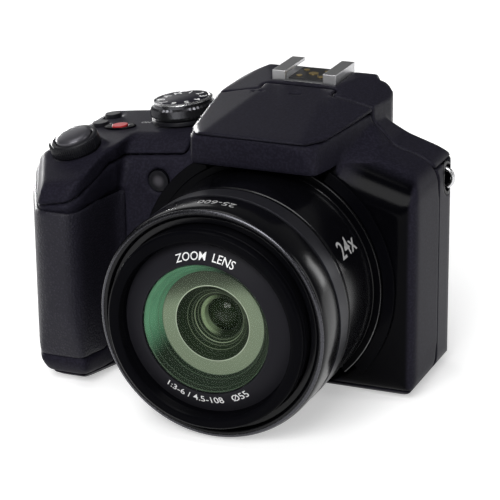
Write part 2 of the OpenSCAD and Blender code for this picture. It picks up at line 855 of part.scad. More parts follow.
module mode_dial() {
  base = 2.1;
  ribs = 40;
  color([0.12, 0.12, 0.13]) on_deck(dial_at) {
    difference() {
      translate([0, 0, base]) cylinder(r = dial_r, h = dial_h - 0.8);
      for (k = [0 : ribs - 1]) rotate([0, 0, 360 * k / ribs])
        translate([dial_r - 0.35, -0.3, base - 1]) cube([1, 0.6, dial_h - 0.4]);
    }
    translate([0, 0, base + dial_h - 0.8]) cylinder(r1 = dial_r - 0.1, r2 = dial_r - 0.9, h = 0.8);
    translate([0, 0, base - stem_len - 2]) cylinder(r = dial_stem_r, h = stem_len + 2);
    translate([0, 0, base - stem_len - 2]) cylinder(r = dial_stem_r + 1.4, h = flange_t);
  }
}
module power_lever() {
  color([0.1, 0.1, 0.11]) on_deck(dial_at) translate([0, 0, 0.6]) difference() {
    union() {
      cylinder(r = dial_r + 0.4, h = 1.2);
      rotate([0, 0, 160]) translate([dial_r - 1, -2.2, 0]) cube([power_r - dial_r + 2, 4.4, 2.6]);
    }
    translate([0, 0, -1]) cylinder(r = dial_stem_r + play, h = 10);
    translate([0, 0, 1.2]) cylinder(r = dial_r + 0.4, h = 10);
  }
}
module deck_button(p, rise) {
  on_deck(p) {
    translate([0, 0, -stem_len]) cylinder(r = button_r - 0.6, h = stem_len + rise);
    translate([0, 0, -stem_len]) cylinder(r = button_r + 0.6, h = flange_t);
  }
}
module record_button() {
  color([0.6, 0.1, 0.08]) deck_button(record_at, 0.8);
}
module burst_button() {
  color([0.2, 0.2, 0.21]) deck_button(burst_at, button_rise);
}
module focus_button() {
  color([0.2, 0.2, 0.21]) deck_button(focus_at, button_rise);
}

// Controls on the back
module back_button(p) {
  rod_y(p, button_r, back_depth - 3.6, back_depth + button_rise);
  rod_y(p, button_r + 1, back_depth - 4.4, back_depth - 3.4);
}
module rear_dial() {
  teeth = 30;
  color([0.1, 0.1, 0.11]) translate(wheel_at) difference() {
    cylinder(r = wheel_r, h = wheel_t);
    for (k = [0 : teeth - 1]) rotate([0, 0, 360 * k / teeth])
      translate([wheel_r - 0.4, -0.35, -1]) cube([1, 0.7, wheel_t + 2]);
  }
}
module cursor_pad() {
  color([0.18, 0.18, 0.2]) difference() {
    union() {
      rod_y(pad_at, pad_r, back_depth - 3.6, back_depth + button_rise);
      rod_y(pad_at, pad_r + 1, back_depth - 4.4, back_depth - 3.4);
    }
    rod_y(pad_at, set_r + play, 0, 80);
  }
}
module set_button() {
  color([0.22, 0.22, 0.24]) {
    rod_y(pad_at, set_r, back_depth - 6.6, back_depth + button_rise);
    rod_y(pad_at, set_r + 1.2, back_depth - 6.6, back_depth - 5.6);
  }
}
module lock_button() {
  color([0.2, 0.2, 0.22]) back_button(lock_at);
}
module playback_button() {
  color([0.2, 0.2, 0.22]) back_button(playback_at);
}
module display_button() {
  color([0.2, 0.2, 0.22]) back_button(display_at);
}
module menu_button() {
  color([0.2, 0.2, 0.22]) back_button(menu_at);
}
module finder_button() {
  color([0.2, 0.2, 0.22]) back_button(finder_at);
}

// Viewfinder and screen
module eyepiece_frame() {
  color([0.12, 0.12, 0.13]) difference() {
    box([-eye_half, eye_half], [eye_back, eye_back + frame_len], [eye_z - eye_tall, eye_z + eye_tall]);
    eye_window(0, big);
  }
}
module eyecup() {
  front = eye_back + frame_len;
  color([0.06, 0.06, 0.07]) difference() {
    along_y(front, front + cup_len) polygon(rounded([
      [eye_half + 2, eye_z + eye_tall + 1, 5], [eye_half + 2, eye_z - eye_tall - 1, 5],
      [-eye_half - 2, eye_z - eye_tall - 1, 5], [-eye_half - 2, eye_z + eye_tall + 1, 5]]));
    along_y(0, 90) polygon(rounded([
      [eye_half - 2.5, eye_z + eye_tall - 2.5, 3], [eye_half - 2.5, eye_z - eye_tall + 2.5, 3],
      [-eye_half + 2.5, eye_z - eye_tall + 2.5, 3], [-eye_half + 2.5, eye_z + eye_tall - 2.5, 3]]));
  }
}
module eyepiece_lens() {
  color([0.4, 0.5, 0.55, 0.5])
    eye_window(eye_back + 0.6, eye_back + 2.2);
}
module diopter_knob() {
  x0 = eye_half + 4.1;
  color([0.1, 0.1, 0.11]) {
    rod_x(x0, x0 + 2.4, knob_y, eye_z + 2, 3.2);
    rod_x(eye_half - 1, x0 + touch, knob_y, eye_z + 2, knob_stem_r);
  }
}
module screen_glass() {
  color([0.03, 0.03, 0.04])
    box(screen_x, [back_depth - screen_t + 0.3, back_depth + 0.3], screen_z);
}
module screen_panel() {
  color([0.2, 0.2, 0.22])
    box(screen_x, [back_depth - screen_t - 3, back_depth - screen_t + 0.3], screen_z);
}

// Battery, doors and sockets
module battery() {
  color([0.25, 0.26, 0.28])
    box([-grip_side + 10, door_x[1] - 2.5], [door_y[0] + 4, door_y[1] - 3], [door_t + play, 52]);
}
module door_space(g) {
  hinge_x = door_x[1];
  y = [door_y[0] - g, door_y[1] + g];
  box([door_x[0] - g, hinge_x], y, [-1, base_t + 1]);
  box([hinge_x - touch, hinge_x + door_t / 2 + g], y, [-1, door_t / 2]);
  rod_y([hinge_x, door_t / 2], door_t / 2 + g, y[0], y[1]);
}
module battery_door() {
  hinge_x = door_x[1];
  color([0.13, 0.13, 0.14]) difference() {
    intersection() {
      union() {
        box([door_x[0], hinge_x], door_y, [0, door_t]);
        rod_y([hinge_x, door_t / 2], door_t / 2, door_y[0], door_y[1]);
      }
      casing(0);
    }
    rod_y([hinge_x, door_t / 2], door_pin_r + fit_gap, door_y[0] - 1, door_y[1] + 1);
    latch_slot(play);
  }
}
module latch_slot(g) {
  box([latch_x[0] - g, latch_x[1] + latch_travel + g], [latch_y[0] - g, latch_y[1] + g], [-1, latch_t]);
}
module door_latch() {
  color([0.2, 0.2, 0.21]) difference() {
    box(latch_x, latch_y, [0.2, latch_t]);
    for (k = [1 : 4]) box([latch_x[0] + k * 1.4 - 0.3, latch_x[0] + k * 1.4 + 0.3],
                          [latch_y[0] + 1, latch_y[1] - 1], [-1, 0.6]);
  }
}
module terminal_hole() {
  box([-grip_side - 5, -grip_side + terminal_t + 0.1],
      [terminal_y[0] - seam, terminal_y[1] + terminal_t / 2 + seam],
      [terminal_z[0] - seam, terminal_z[1] + seam]);
  box([-grip_side - 5, -grip_side + 6], [terminal_y[0] + 2, terminal_y[1] - 3],
      [terminal_z[0] + 2, terminal_z[1] - 2]);
}
module terminal_door() {
  color([0.13, 0.13, 0.14]) {
    box([-grip_side, -grip_side + terminal_t], terminal_y, terminal_z);
    translate([-grip_side + terminal_t / 2, terminal_y[1], terminal_z[0]])
      cylinder(r = terminal_t / 2, h = terminal_z[1] - terminal_z[0]);
  }
}
module terminal_sockets() {
  inner = -grip_side + wall;
  color([0.65, 0.65, 0.67]) {
    box([inner, inner + 1.4], terminal_y, terminal_z);
    for (z = [terminal_z[0] + 7, terminal_z[1] - 7])
      box([-grip_side + terminal_t + 0.2, inner + touch], [terminal_y[0] + 3.5, terminal_y[1] - 4.5],
          [z - 1.6, z + 1.6]);
  }
}

// Inner frame, and the fixings that share one shape
module chassis() {
  y = chassis_y;
  color([0.5, 0.52, 0.54]) difference() {
    box([-plain_side + 3, plain_side - wall - 2.4], [y, y + 1.4], [base_t, 62]);
    box([-8, 8], [0, 60], [lens_z - 7, lens_z + 7]);
  }
}
// Strap anchors, one on each side, with X turned outward
module eyelet_place(s) {
  place = s > 0 ? [plain_side, eyelet_y, eyelet_z] : [-grip_side + 1.6, eyelet_y, grip_eyelet_z];
  translate(place) rotate([0, 0, s > 0 ? 0 : 180]) children();
}
module strap_cups() {
  color([0.04, 0.04, 0.05]) for (s = [-1, 1]) difference() {
    intersection() {
      casing(0);
      eyelet_place(s) rotate([0, 90, 0]) cylinder(r = eyelet_r, h = 13, center = true);
    }
    eyelet_place(s) rotate([0, 90, 0]) translate([0, 0, -5]) cylinder(r = eyelet_r - 1, h = 20);
  }
}
module strap_loops() {
  color([0.75, 0.76, 0.78]) for (s = [-1, 1]) eyelet_place(s) {
    translate([-1.6, 0, 0]) rotate([90, 0, 0]) rotate([0, 0, -90])
      rotate_extrude(angle = 180) translate([loop_r, 0]) circle(r = loop_wire);
    for (k = [-1, 1]) translate([-5, 0, k * loop_r]) rotate([0, 90, 0]) cylinder(r = loop_wire, h = 3.4);
  }
}
module fixings() {
  color([0.72, 0.73, 0.75]) {
    difference() {
      cylinder(r = bush_r + bush_wall, h = bush_len + 1.5);
      translate([0, 0, -1]) cylinder(r = bush_r, h = bush_len + 1);
    }
    for (p = screw_spots) translate([p[0], p[1], 0.2]) {
      cylinder(r = screw_head_r, h = 1.2);
      cylinder(r = screw_r, h = base_t + 4);
    }
  }
}

front_cover();
rear_cover();
top_cover();
base_cover();
hump_cover();
grip_rubber();
thumb_rubber();
lens_surround();
lens_base_ring();
fixed_barrel();
barrel_band();
lens_cup();
rear_lens_group();
image_sensor();
mid_barrel();
zoom_lens_group();
front_barrel();
name_ring();
front_element();
second_element();
focus_lamp();
flash_lid();
flash_head();
flash_window();
flash_tube();
hinge_pins();
flash_capacitor();
hot_shoe();
hot_shoe_contacts();
zoom_lever();
shutter_button();
mode_dial();
power_lever();
record_button();
burst_button();
focus_button();
rear_dial();
cursor_pad();
set_button();
lock_button();
playback_button();
display_button();
menu_button();
finder_button();
flash_release();
diopter_knob();
eyepiece_frame();
eyecup();
eyepiece_lens();
screen_glass();
screen_panel();
battery();
battery_door();
door_latch();
terminal_door();
terminal_sockets();
chassis();
strap_cups();
strap_loops();
fixings();
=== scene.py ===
"""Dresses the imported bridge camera: finishes, turned lens and dial pieces, printed marks and a studio."""

import math

import bpy
from mathutils import Matrix, Vector
from mathutils.kdtree import KDTree


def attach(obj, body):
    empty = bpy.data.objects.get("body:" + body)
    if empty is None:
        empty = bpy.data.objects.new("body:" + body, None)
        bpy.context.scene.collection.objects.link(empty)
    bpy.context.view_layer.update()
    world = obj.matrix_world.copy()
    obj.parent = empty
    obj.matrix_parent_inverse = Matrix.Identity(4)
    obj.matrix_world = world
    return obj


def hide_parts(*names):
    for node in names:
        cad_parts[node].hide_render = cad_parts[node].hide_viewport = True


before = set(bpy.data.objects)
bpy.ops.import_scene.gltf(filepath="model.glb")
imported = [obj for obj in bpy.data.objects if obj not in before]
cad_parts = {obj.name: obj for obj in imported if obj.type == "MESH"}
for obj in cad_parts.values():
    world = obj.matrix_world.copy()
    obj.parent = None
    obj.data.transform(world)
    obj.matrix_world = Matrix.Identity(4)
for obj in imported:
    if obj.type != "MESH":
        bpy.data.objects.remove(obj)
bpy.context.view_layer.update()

bl_info = {
    "name": "Bridge Camera Dressing",
    "version": (1, 0, 0),
    "blender": (4, 5, 0),
    "location": "3D View > Sidebar > Camera",
    "description": "Finishes and detail pieces for the packed bridge camera",
    "category": "Object",
}

MM = 0.001

# Places on the camera in mm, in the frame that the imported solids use
LENS_HEIGHT = 36.6
BARREL_RADIUS = 36.4
RIM_DEPTH = 54.7
LENS_DEPTH = 60.3
SEAT_DEPTH = 56.7
GLASS_RADIUS = 20.2
FILTER_RADIUS = 27.5
FRONT_RADIUS = 31.2
BACK_DEPTH = 36.5
DECK_EDGE = 28.9
DECK_THICKNESS = 5.2
DECK_HEIGHT = 77.3
DECK_ROLL = 6.5
SHUTTER_AT = (-62.3, -14.4)
SHUTTER_SINK = 0.35
SHUTTER_TILT = (15, -5)
DIAL_AT = (-38.6, 16.0)
RECORD_AT = (-58.5, 9.0)
LAMP_AT = (-37.0, 63.4)
TRIM_RADIUS = 38.2
TRIM_DEPTH = 11.5
PAD_HEIGHT = 91.54
SCREEN_AT = (6.0, 31.8)
SCREEN_HALF = (31.6, 22.2)
BATTERY_MIDDLE = 30.0
BATTERY_BAND = 12.2
DIAL_RADIUS = 10.0
DIAL_FOOT = 2.1
DIAL_TOP = 7.7
KNURL_PITCH = 1.15
KNURL_ROWS = 3
SKIRT_ENDS = (-52.5, -29.1)
SKIRT_DEPTHS = (33.2, 36.25)
SKIRT_FOOT = 69.2

# Printed figures: thickness and lift in mm, then a capital's share of the font size and the boldness
PRINT_THICKNESS = 0.03
PRINT_LIFT = 0.02
CAPITAL_SHARE = 0.7
BOLDNESS = 0.006

# Worn covers: angles in degrees, the spacing of points along an edge in mm, and shares
FLAT_ANGLE = 0.6
FORM_ANGLE = 8
POINT_SPACING = 0.8
WEAR_RAMP = 1.5
WEAR_FACTOR = 0.5
KEPT_FACES = 0.4
COVER_ANGLE = 35
SMOOTH_ANGLE = 32

# Painted reflections along the ridges in the dark funnel behind the front glass: radius in mm and strength
FUNNEL_RIDGE_REFLECTIONS = ((9.5, 0.35), (8.6, 0.25), (7.95, 0.9), (7.3, 0.3))
RIDGE_HALF = 0.16
RIDGE_CORE = 0.06

# The studio, in metres and watts: name, place, aim, width, height and power of each lamp
LAMPS = (
    ("softbox_front", (0.1, -1.15, 0.9), (0.0, 0.0, 0.05), 0.8, 0.8, 19.0),
    ("softbox_top", (-0.3, -0.2, 1.3), (0.0, 0.0, 0.05), 0.7, 0.7, 5.0),
    ("back_panel", (-1.0, 1.0, 0.6), (0.0, 0.0, 0.05), 0.9, 0.6, 1.7),
    ("back_strip", (0.66, 1.2, 0.24), (0.02, -0.02, 0.05), 0.2, 0.4, 1.0),
    ("strip_grip_side", (-0.75, 0.6, 0.08), (-0.05, 0.0, 0.04), 0.5, 0.14, 11.0),
    ("strip_plain_side", (0.95, 0.05, 0.35), (0.05, 0.0, 0.05), 0.3, 0.9, 2.2),
)
WHITE = (1.0, 1.0, 1.0, 1.0)
FLOOR_GREY = (0.86, 0.86, 0.86, 1.0)
FLOOR_GLOW = 0.42
FLOOR_FADE = (0.35, 0.9)
FLOOR_SIZE = 40.0
FLOOR_DROP = 0.0002
AIR_STRENGTH = 0.10
VIEW_TURN = ((0.9247, -0.1192, 0.3616), (0.3806, 0.3158, -0.8692), (-0.0106, 0.9413, 0.3374))
VIEW_FROM = (0.25772, -0.64287, 0.29031)
SENSOR_WIDTH = 36.0
FOCAL_LENGTH = 167.75
NEAR_CLIP = 0.01


class CameraSizes(bpy.types.PropertyGroup):
    """Sizes of the detail that the solids leave out"""
    edge_round: bpy.props.FloatProperty(
        name="Edge round", description="Radius that breaks the edges of small pieces",
        default=0.35 * MM, min=0.0, unit="LENGTH")
    cover_round: bpy.props.FloatProperty(
        name="Cover round", description="Radius that softens the edges between the covers' faces",
        default=1.5 * MM, min=0.0, unit="LENGTH")
    knurl_depth: bpy.props.FloatProperty(
        name="Knurl depth", description="How far the diamonds on the mode dial stand out",
        default=0.45 * MM, min=0.0, unit="LENGTH")
    knurl_count: bpy.props.IntProperty(
        name="Knurl count", description="Diamonds round the mode dial", default=46, min=8)
    thread_pitch: bpy.props.FloatProperty(
        name="Thread pitch", description="Pitch of the filter thread's ridges",
        default=0.75 * MM, min=0.1 * MM, unit="LENGTH")
    ring_letter: bpy.props.FloatProperty(
        name="Ring letter height", description="Height of the figures on the front ring",
        default=2.3 * MM, min=0.1 * MM, unit="LENGTH")
    barrel_letter: bpy.props.FloatProperty(
        name="Barrel letter height", description="Height of the figures on the barrel's rim",
        default=3.0 * MM, min=0.1 * MM, unit="LENGTH")
    dial_letter: bpy.props.FloatProperty(
        name="Dial letter height", description="Height of the figures on the mode dial",
        default=2.5 * MM, min=0.1 * MM, unit="LENGTH")


class CameraColours(bpy.types.PropertyGroup):
    """Colours of the finishes"""
    casing: bpy.props.FloatVectorProperty(
        name="Casing", description="Moulded covers", subtype="COLOR", size=4,
        default=(0.0105, 0.0098, 0.0155, 1.0))
    rubber: bpy.props.FloatVectorProperty(
        name="Rubber", description="Grip, thumb rest and eyecup", subtype="COLOR", size=4,
        default=(0.0105, 0.0098, 0.0152, 1.0))
    gloss: bpy.props.FloatVectorProperty(
        name="Gloss", description="Gloss black panel round the lens", subtype="COLOR", size=4,
        default=(0.0012, 0.0012, 0.0018, 1.0))
    barrel: bpy.props.FloatVectorProperty(
        name="Barrel", description="Turned lens barrels", subtype="COLOR", size=4,
        default=(0.0022, 0.0022, 0.0030, 1.0))
    ring: bpy.props.FloatVectorProperty(
        name="Front ring", description="Conical ring round the front glass", subtype="COLOR", size=4,
        default=(0.0125, 0.0122, 0.0150, 1.0))
    marks: bpy.props.FloatVectorProperty(
        name="Marks", description="Printed figures and lines", subtype="COLOR", size=4,
        default=(0.78, 0.78, 0.78, 1.0))
    coating: bpy.props.FloatVectorProperty(
        name="Lens coating", description="Tint of the coated glass", subtype="COLOR", size=4,
        default=(0.20, 0.235, 0.175, 1.0))
    record: bpy.props.FloatVectorProperty(
        name="Record", description="Movie button", subtype="COLOR", size=4,
        default=(0.42, 0.012, 0.018, 1.0))
    metal: bpy.props.FloatVectorProperty(
        name="Metal", description="Shoe, rings and strap loops", subtype="COLOR", size=4,
        default=(0.62, 0.62, 0.63, 1.0))


def sizes():
    return bpy.context.scene.bridge_camera_sizes


def colours():
    return bpy.context.scene.bridge_camera_colours


# Shader expressions
class Value:
    """A shader socket that takes part in plain arithmetic."""

    def __init__(self, finish, socket):
        self.finish = finish
        self.socket = socket

    def other(self, output):
        return Value(self.finish, self.socket.node.outputs[output])

    def _math(self, operation, first, second):
        return self.finish.node("Math", {"operation": operation}, {0: first, 1: second})

    def __add__(self, amount):
        return self._math("ADD", self, amount)

    __radd__ = __add__

    def __sub__(self, amount):
        return self._math("SUBTRACT", self, amount)

    def __rsub__(self, amount):
        return self._math("SUBTRACT", amount, self)

    def __mul__(self, amount):
        return self._math("MULTIPLY", self, amount)

    __rmul__ = __mul__

    def __abs__(self):
        return self._math("ABSOLUTE", self, 0.0)

    def __pow__(self, amount):
        return self._math("POWER", self, amount)


class Finish:
    """One procedural material under construction."""

    def __init__(self, name):
        self.material = bpy.data.materials.new(name)
        self.material.use_nodes = True
        self.tree = self.material.node_tree
        self.tree.nodes.clear()

    def node(self, kind, settings=None, sockets=None, output=0):
        made = self.tree.nodes.new("ShaderNode" + kind)
        for key, setting in (settings or {}).items():
            setattr(made, key, setting)
        for key, amount in (sockets or {}).items():
            if isinstance(amount, Value):
                self.tree.links.new(amount.socket, made.inputs[key])
            else:
                made.inputs[key].default_value = amount
        return Value(self, made.outputs[output])

    def close(self, shader):
        end = self.tree.nodes.new("ShaderNodeOutputMaterial")
        self.tree.links.new(shader.socket, end.inputs["Surface"])
        return self.material

    def principled(self, sockets):
        return self.close(self.node("BsdfPrincipled", {}, sockets))

    def millimetres(self):
        spot = self.node("TexCoord", output="Object")
        return self.node("VectorMath", {"operation": "SCALE"}, {0: spot, "Scale": 1 / MM})

    def axes(self):
        x = self.node("SeparateXYZ", {}, {0: self.millimetres()})
        return x, x.other("Y"), x.other("Z")

    def blend(self, factor, first, second):
        return self.node("Mix", {"data_type": "RGBA"}, {0: factor, 6: first, 7: second}, 2)

    def step(self, value, start, end):
        return self.node("MapRange", {"interpolation_type": "SMOOTHSTEP"},
                         {"Value": value, "From Min": start, "From Max": end})

    def either(self, first, second):
        """The larger of two masks."""
        return self.node("Math", {"operation": "MAXIMUM"}, {0: first, 1: second})

    def noise(self, where, scale, detail=2.0):
        return self.node("TexNoise", {}, {"Vector": where, "Scale": scale, "Detail": detail})

    def bump(self, height, strength, distance, under=None):
        sockets = {"Height": height, "Strength": strength, "Distance": distance * MM}
        if under is not None:
            sockets["Normal"] = under
        return self.node("Bump", {}, sockets)

    def broken_edge(self, radius=None):
        return self.node("Bevel", {"samples": 6}, {"Radius": radius or sizes().edge_round})

    def reach(self, x, z, middle=(0.0, LENS_HEIGHT)):
        """Distance from an axis that runs along the camera's depth."""
        across = x - middle[0]
        up = z - middle[1]
        return (across * across + up * up) ** 0.5

    def rings(self, along, scale, detail=2.0):
        """Noise along one value, as the marks of a turning tool."""
        return self.node("TexNoise", {"noise_dimensions": "1D"},
                         {"W": along, "Scale": scale, "Detail": detail})


def shade(colour, amount):
    return (*(channel * amount for channel in colour[:3]), 1.0)


MADE = {}


def made_once(build):
    """A finish is built at its first use, and shared after that."""
    name = build.__name__

    def finish():
        if name not in MADE:
            MADE[name] = build(Finish(name + "_finish"))
        return MADE[name]
    return finish


# Finishes
def moulded(f, colour, roughness, gloss=0.07, dark=None, dark_colour=None):
    """Finely textured plastic; where the mask is 1 it turns to smooth gloss black."""
    where = f.millimetres()
    fine = f.noise(where, 2.6, 3.0)
    broad = f.noise(where, 0.045)
    tone = f.blend(broad, shade(colour, 0.8), shade(colour, 1.1))
    grain = f.step(f.noise(where, 1.4, 1.0), 0.42, 0.64)
    tone = f.blend(grain * 0.5, tone, shade(colour, 1.9))
    rough = roughness + 0.16 * (fine - 0.5)
    height = fine
    if dark is not None:
        tone = f.blend(dark, tone, dark_colour)
        rough = rough * (1 - dark) + 0.13 * dark
        height = fine * (1 - dark)
    normal = f.bump(height, 0.4, 0.07, f.broken_edge(sizes().cover_round))
    return f.principled({"Base Color": tone, "Roughness": rough, "Normal": normal,
                         "Specular IOR Level": gloss})


def grained(f, scale, low, high, rough, sockets=None, detail=3.0, relief=None, edge=False):
    """A finish whose tone, roughness and slight relief all follow one fine noise."""
    fine = f.noise(f.millimetres(), scale, detail)
    made = {"Base Color": f.blend(fine, low, high), "Roughness": rough[0] + rough[1] * fine}
    normal = f.broken_edge() if edge else None
    if relief:
        normal = f.bump(fine, *relief, normal)
    if normal is not None:
        made["Normal"] = normal
    return f.principled({**made, **(sockets or {})})


@made_once
def casing_plastic(f):
    return moulded(f, colours().casing, 0.44)


@made_once
def deck_plastic(f):
    return moulded(f, colours().casing, 0.52, gloss=0.03)


@made_once
def front_plastic(f):
    """Casing plastic that turns to gloss black round the lens, on the panel beside it and on the cheek."""
    x, y, z = f.axes()
    radius = f.reach(x, z)
    front = f.step(y, -7.6, -8.8)
    panel = f.step(x, 4.0, 6.0) * f.step(z, 66.0, 50.0)
    arch = f.step(radius, 47.0, 45.6) * f.step(x, -24.4, -23.6) * f.step(z, 30.0, 34.0)
    cheek = f.step(x, 22.0, 32.0) * f.step(y, 0.0, -5.0)
    dark = f.either(f.either(panel, arch) * front, cheek)
    inside = f.step(x, 46.6, 45.2) * f.step(z, 75.2, 74.9)
    return moulded(f, colours().casing, 0.44, 0.035, dark * inside, tuple(colours().gloss))


@made_once
def pebbled_rubber(f):
    """Rubber with small raised pebbles, paler on their tops."""
    where = f.millimetres()
    rubber = colours().rubber
    cells = f.node("TexVoronoi", {"feature": "F1"}, {"Vector": where, "Scale": 1.35, "Randomness": 0.85})
    tone = f.blend(f.noise(where, 0.06), shade(rubber, 0.85), shade(rubber, 1.2))
    # The pebble tops are coloured paler than the rubber round them
    worn = f.blend(f.step(cells, 0.4, 0.05), tone, shade(rubber, 2.4))
    normal = f.bump(1 - cells, 0.65, 0.2, f.broken_edge())
    return f.principled({"Base Color": worn, "Roughness": 0.4 + 0.18 * cells, "Normal": normal,
                         "Specular IOR Level": 0.2})


@made_once
def soft_rubber(f):
    rubber = colours().rubber
    return grained(f, 4.0, shade(rubber, 0.7), shade(rubber, 1.15), (0.62, 0.1),
                   {"Specular IOR Level": 0.06}, relief=(0.2, 0.04), edge=True)


@made_once
def gloss_black(f):
    where = f.millimetres()
    haze = f.noise(where, 0.12, 4.0)
    normal = f.bump(f.noise(where, 0.5), 0.03, 0.02, f.broken_edge())
    return f.principled({"Base Color": f.blend(haze, tuple(colours().gloss), shade(colours().gloss, 1.6)),
                         "Roughness": 0.08 + 0.08 * haze, "Normal": normal, "Specular IOR Level": 0.03})


def lacquer(f, gloss):
    """Satin lacquer on a turned barrel: very fine rings round the lens axis."""
    turning = f.rings(f.axes()[1], 5.0)
    haze = f.noise(f.millimetres(), 0.1, 3.0)
    tone = f.blend(haze, shade(colours().barrel, 0.8), shade(colours().barrel, 1.3))
    normal = f.bump(turning, 0.06, 0.02, f.broken_edge())
    return f.principled({"Base Color": tone, "Roughness": 0.14 + 0.08 * turning, "Normal": normal,
                         "Specular IOR Level": gloss})


@made_once
def barrel_lacquer(f):
    return lacquer(f, gloss=0.2)


@made_once
def front_lacquer(f):
    return lacquer(f, gloss=0.012)


@made_once
def band_metal(f):
    turning = f.rings(f.axes()[1], 9.0)
    tone = f.blend(turning, (0.018, 0.018, 0.022, 1.0), (0.034, 0.034, 0.040, 1.0))
    normal = f.bump(turning, 0.08, 0.02, f.broken_edge())
    return f.principled({"Base Color": tone, "Roughness": 0.26 + 0.14 * turning, "Metallic": 0.5,
                         "Normal": normal, "Specular IOR Level": 0.1})


@made_once
def polished_edge(f):
    """Bare machined edge on a black barrel."""
    return grained(f, 1.5, (0.045, 0.045, 0.050, 1.0), (0.085, 0.085, 0.095, 1.0), (0.22, 0.1),
                   {"Metallic": 1.0}, edge=True)


@made_once
def trim_ring(f):
    """Gloss black trim round the barrel's foot, with bare metal along its front outer edge only on the
    right; towards the left that edge is painted gloss black as painted shade.
    """
    x, y, z = f.axes()
    rim = f.step(f.reach(x, z), TRIM_RADIUS, TRIM_RADIUS + 0.1) * f.step(y, -TRIM_DEPTH, -TRIM_DEPTH - 0.1)
    # Painted shade: the bare edge gives way to gloss black towards the left
    bare = rim * f.step(x, 12.0, 26.0)
    fine = f.noise(f.millimetres(), 1.5, 3.0)
    tone = f.blend(bare, tuple(colours().gloss), shade(colours().metal, 0.22))
    return f.principled({"Base Color": tone, "Roughness": 0.14 + 0.12 * fine, "Metallic": bare,
                         "Specular IOR Level": 0.03})


@made_once
def bright_metal(f):
    metal = colours().metal
    return grained(f, 3.0, shade(metal, 0.9), shade(metal, 1.08), (0.22, 0.1), {"Metallic": 1.0}, edge=True)


@made_once
def brushed_metal(f):
    """Brushed shoe rails: fine streaks along the camera's depth."""
    drawn = f.node("VectorMath", {"operation": "MULTIPLY"}, {0: f.millimetres(), 1: (9.0, 0.4, 9.0)})
    streaks = f.noise(drawn, 1.0, 3.0)
    tone = f.blend(streaks, shade(colours().metal, 0.82), shade(colours().metal, 1.06))
    return f.principled({"Base Color": tone, "Roughness": 0.3 + 0.14 * streaks, "Metallic": 1.0,
                         "Normal": f.bump(streaks, 0.12, 0.02, f.broken_edge())})


@made_once
def shoe_contacts(f):
    """Black insulating plate with gold pads standing on it."""
    pads = f.step(f.axes()[2], PAD_HEIGHT, PAD_HEIGHT + 0.06)
    fine = f.noise(f.millimetres(), 2.0, 3.0)
    gold = f.blend(fine, (0.60, 0.44, 0.17, 1.0), (0.74, 0.56, 0.24, 1.0))
    tone = f.blend(pads, (0.008, 0.008, 0.009, 1.0), gold)
    return f.principled({"Base Color": tone, "Roughness": 0.3 + 0.1 * fine, "Metallic": pads})


@made_once
def ring_paint(f):
    """Dark satin paint on the conical front ring, with faint turning marks."""
    x, _, z = f.axes()
    turning = f.rings(f.reach(x, z), 4.0)
    tone = f.blend(turning, shade(colours().ring, 0.88), shade(colours().ring, 1.15))
    return f.principled({"Base Color": tone, "Roughness": 0.42 + 0.08 * turning,
                         "Normal": f.bump(turning, 0.05, 0.02), "Specular IOR Level": 0.05})


@made_once
def printed_white(f):
    marks = colours().marks
    return grained(f, 3.0, shade(marks, 0.93), shade(marks, 1.05), (0.5, 0.1), detail=2.0)


@made_once
def printed_grey(f):
    marks = colours().marks
    return grained(f, 3.0, shade(marks, 0.42), shade(marks, 0.5), (0.5, 0.1), detail=2.0)


@made_once
def coated_glass(f):
    """Clear front glass: see-through, with a green coated gloss that grows towards its edge."""
    facing = f.node("LayerWeight", {}, {"Blend": 0.18}, "Fresnel")
    wave = f.noise(f.millimetres(), 0.03)
    clear = f.node("BsdfTransparent", {}, {"Color": (0.95, 0.965, 0.94, 1.0)})
    gloss = f.node("BsdfGlossy", {}, {"Color": (0.72, 0.86, 0.76, 1.0), "Roughness": 0.015})
    share = 0.002 + 0.05 * facing + 0.002 * wave
    return f.close(f.node("MixShader", {}, {0: share, 1: clear, 2: gloss}))


@made_once
def clear_window(f):
    """Ribbed clear plastic of the flash window."""
    facing = f.node("LayerWeight", {}, {"Blend": 0.2}, "Fresnel")
    ribs = f.node("TexWave", {"wave_type": "BANDS", "bands_direction": "X"},
                  {"Vector": f.millimetres(), "Scale": 0.4})
    clear = f.node("BsdfTransparent", {}, {"Color": (0.86, 0.88, 0.90, 1.0)})
    frost = f.node("BsdfPrincipled", {}, {"Base Color": (0.75, 0.77, 0.8, 1.0), "Roughness": 0.12,
                                          "Normal": f.bump(ribs, 0.4, 0.15)})
    return f.close(f.node("MixShader", {}, {0: 0.45 + 0.4 * facing, 1: clear, 2: frost}))


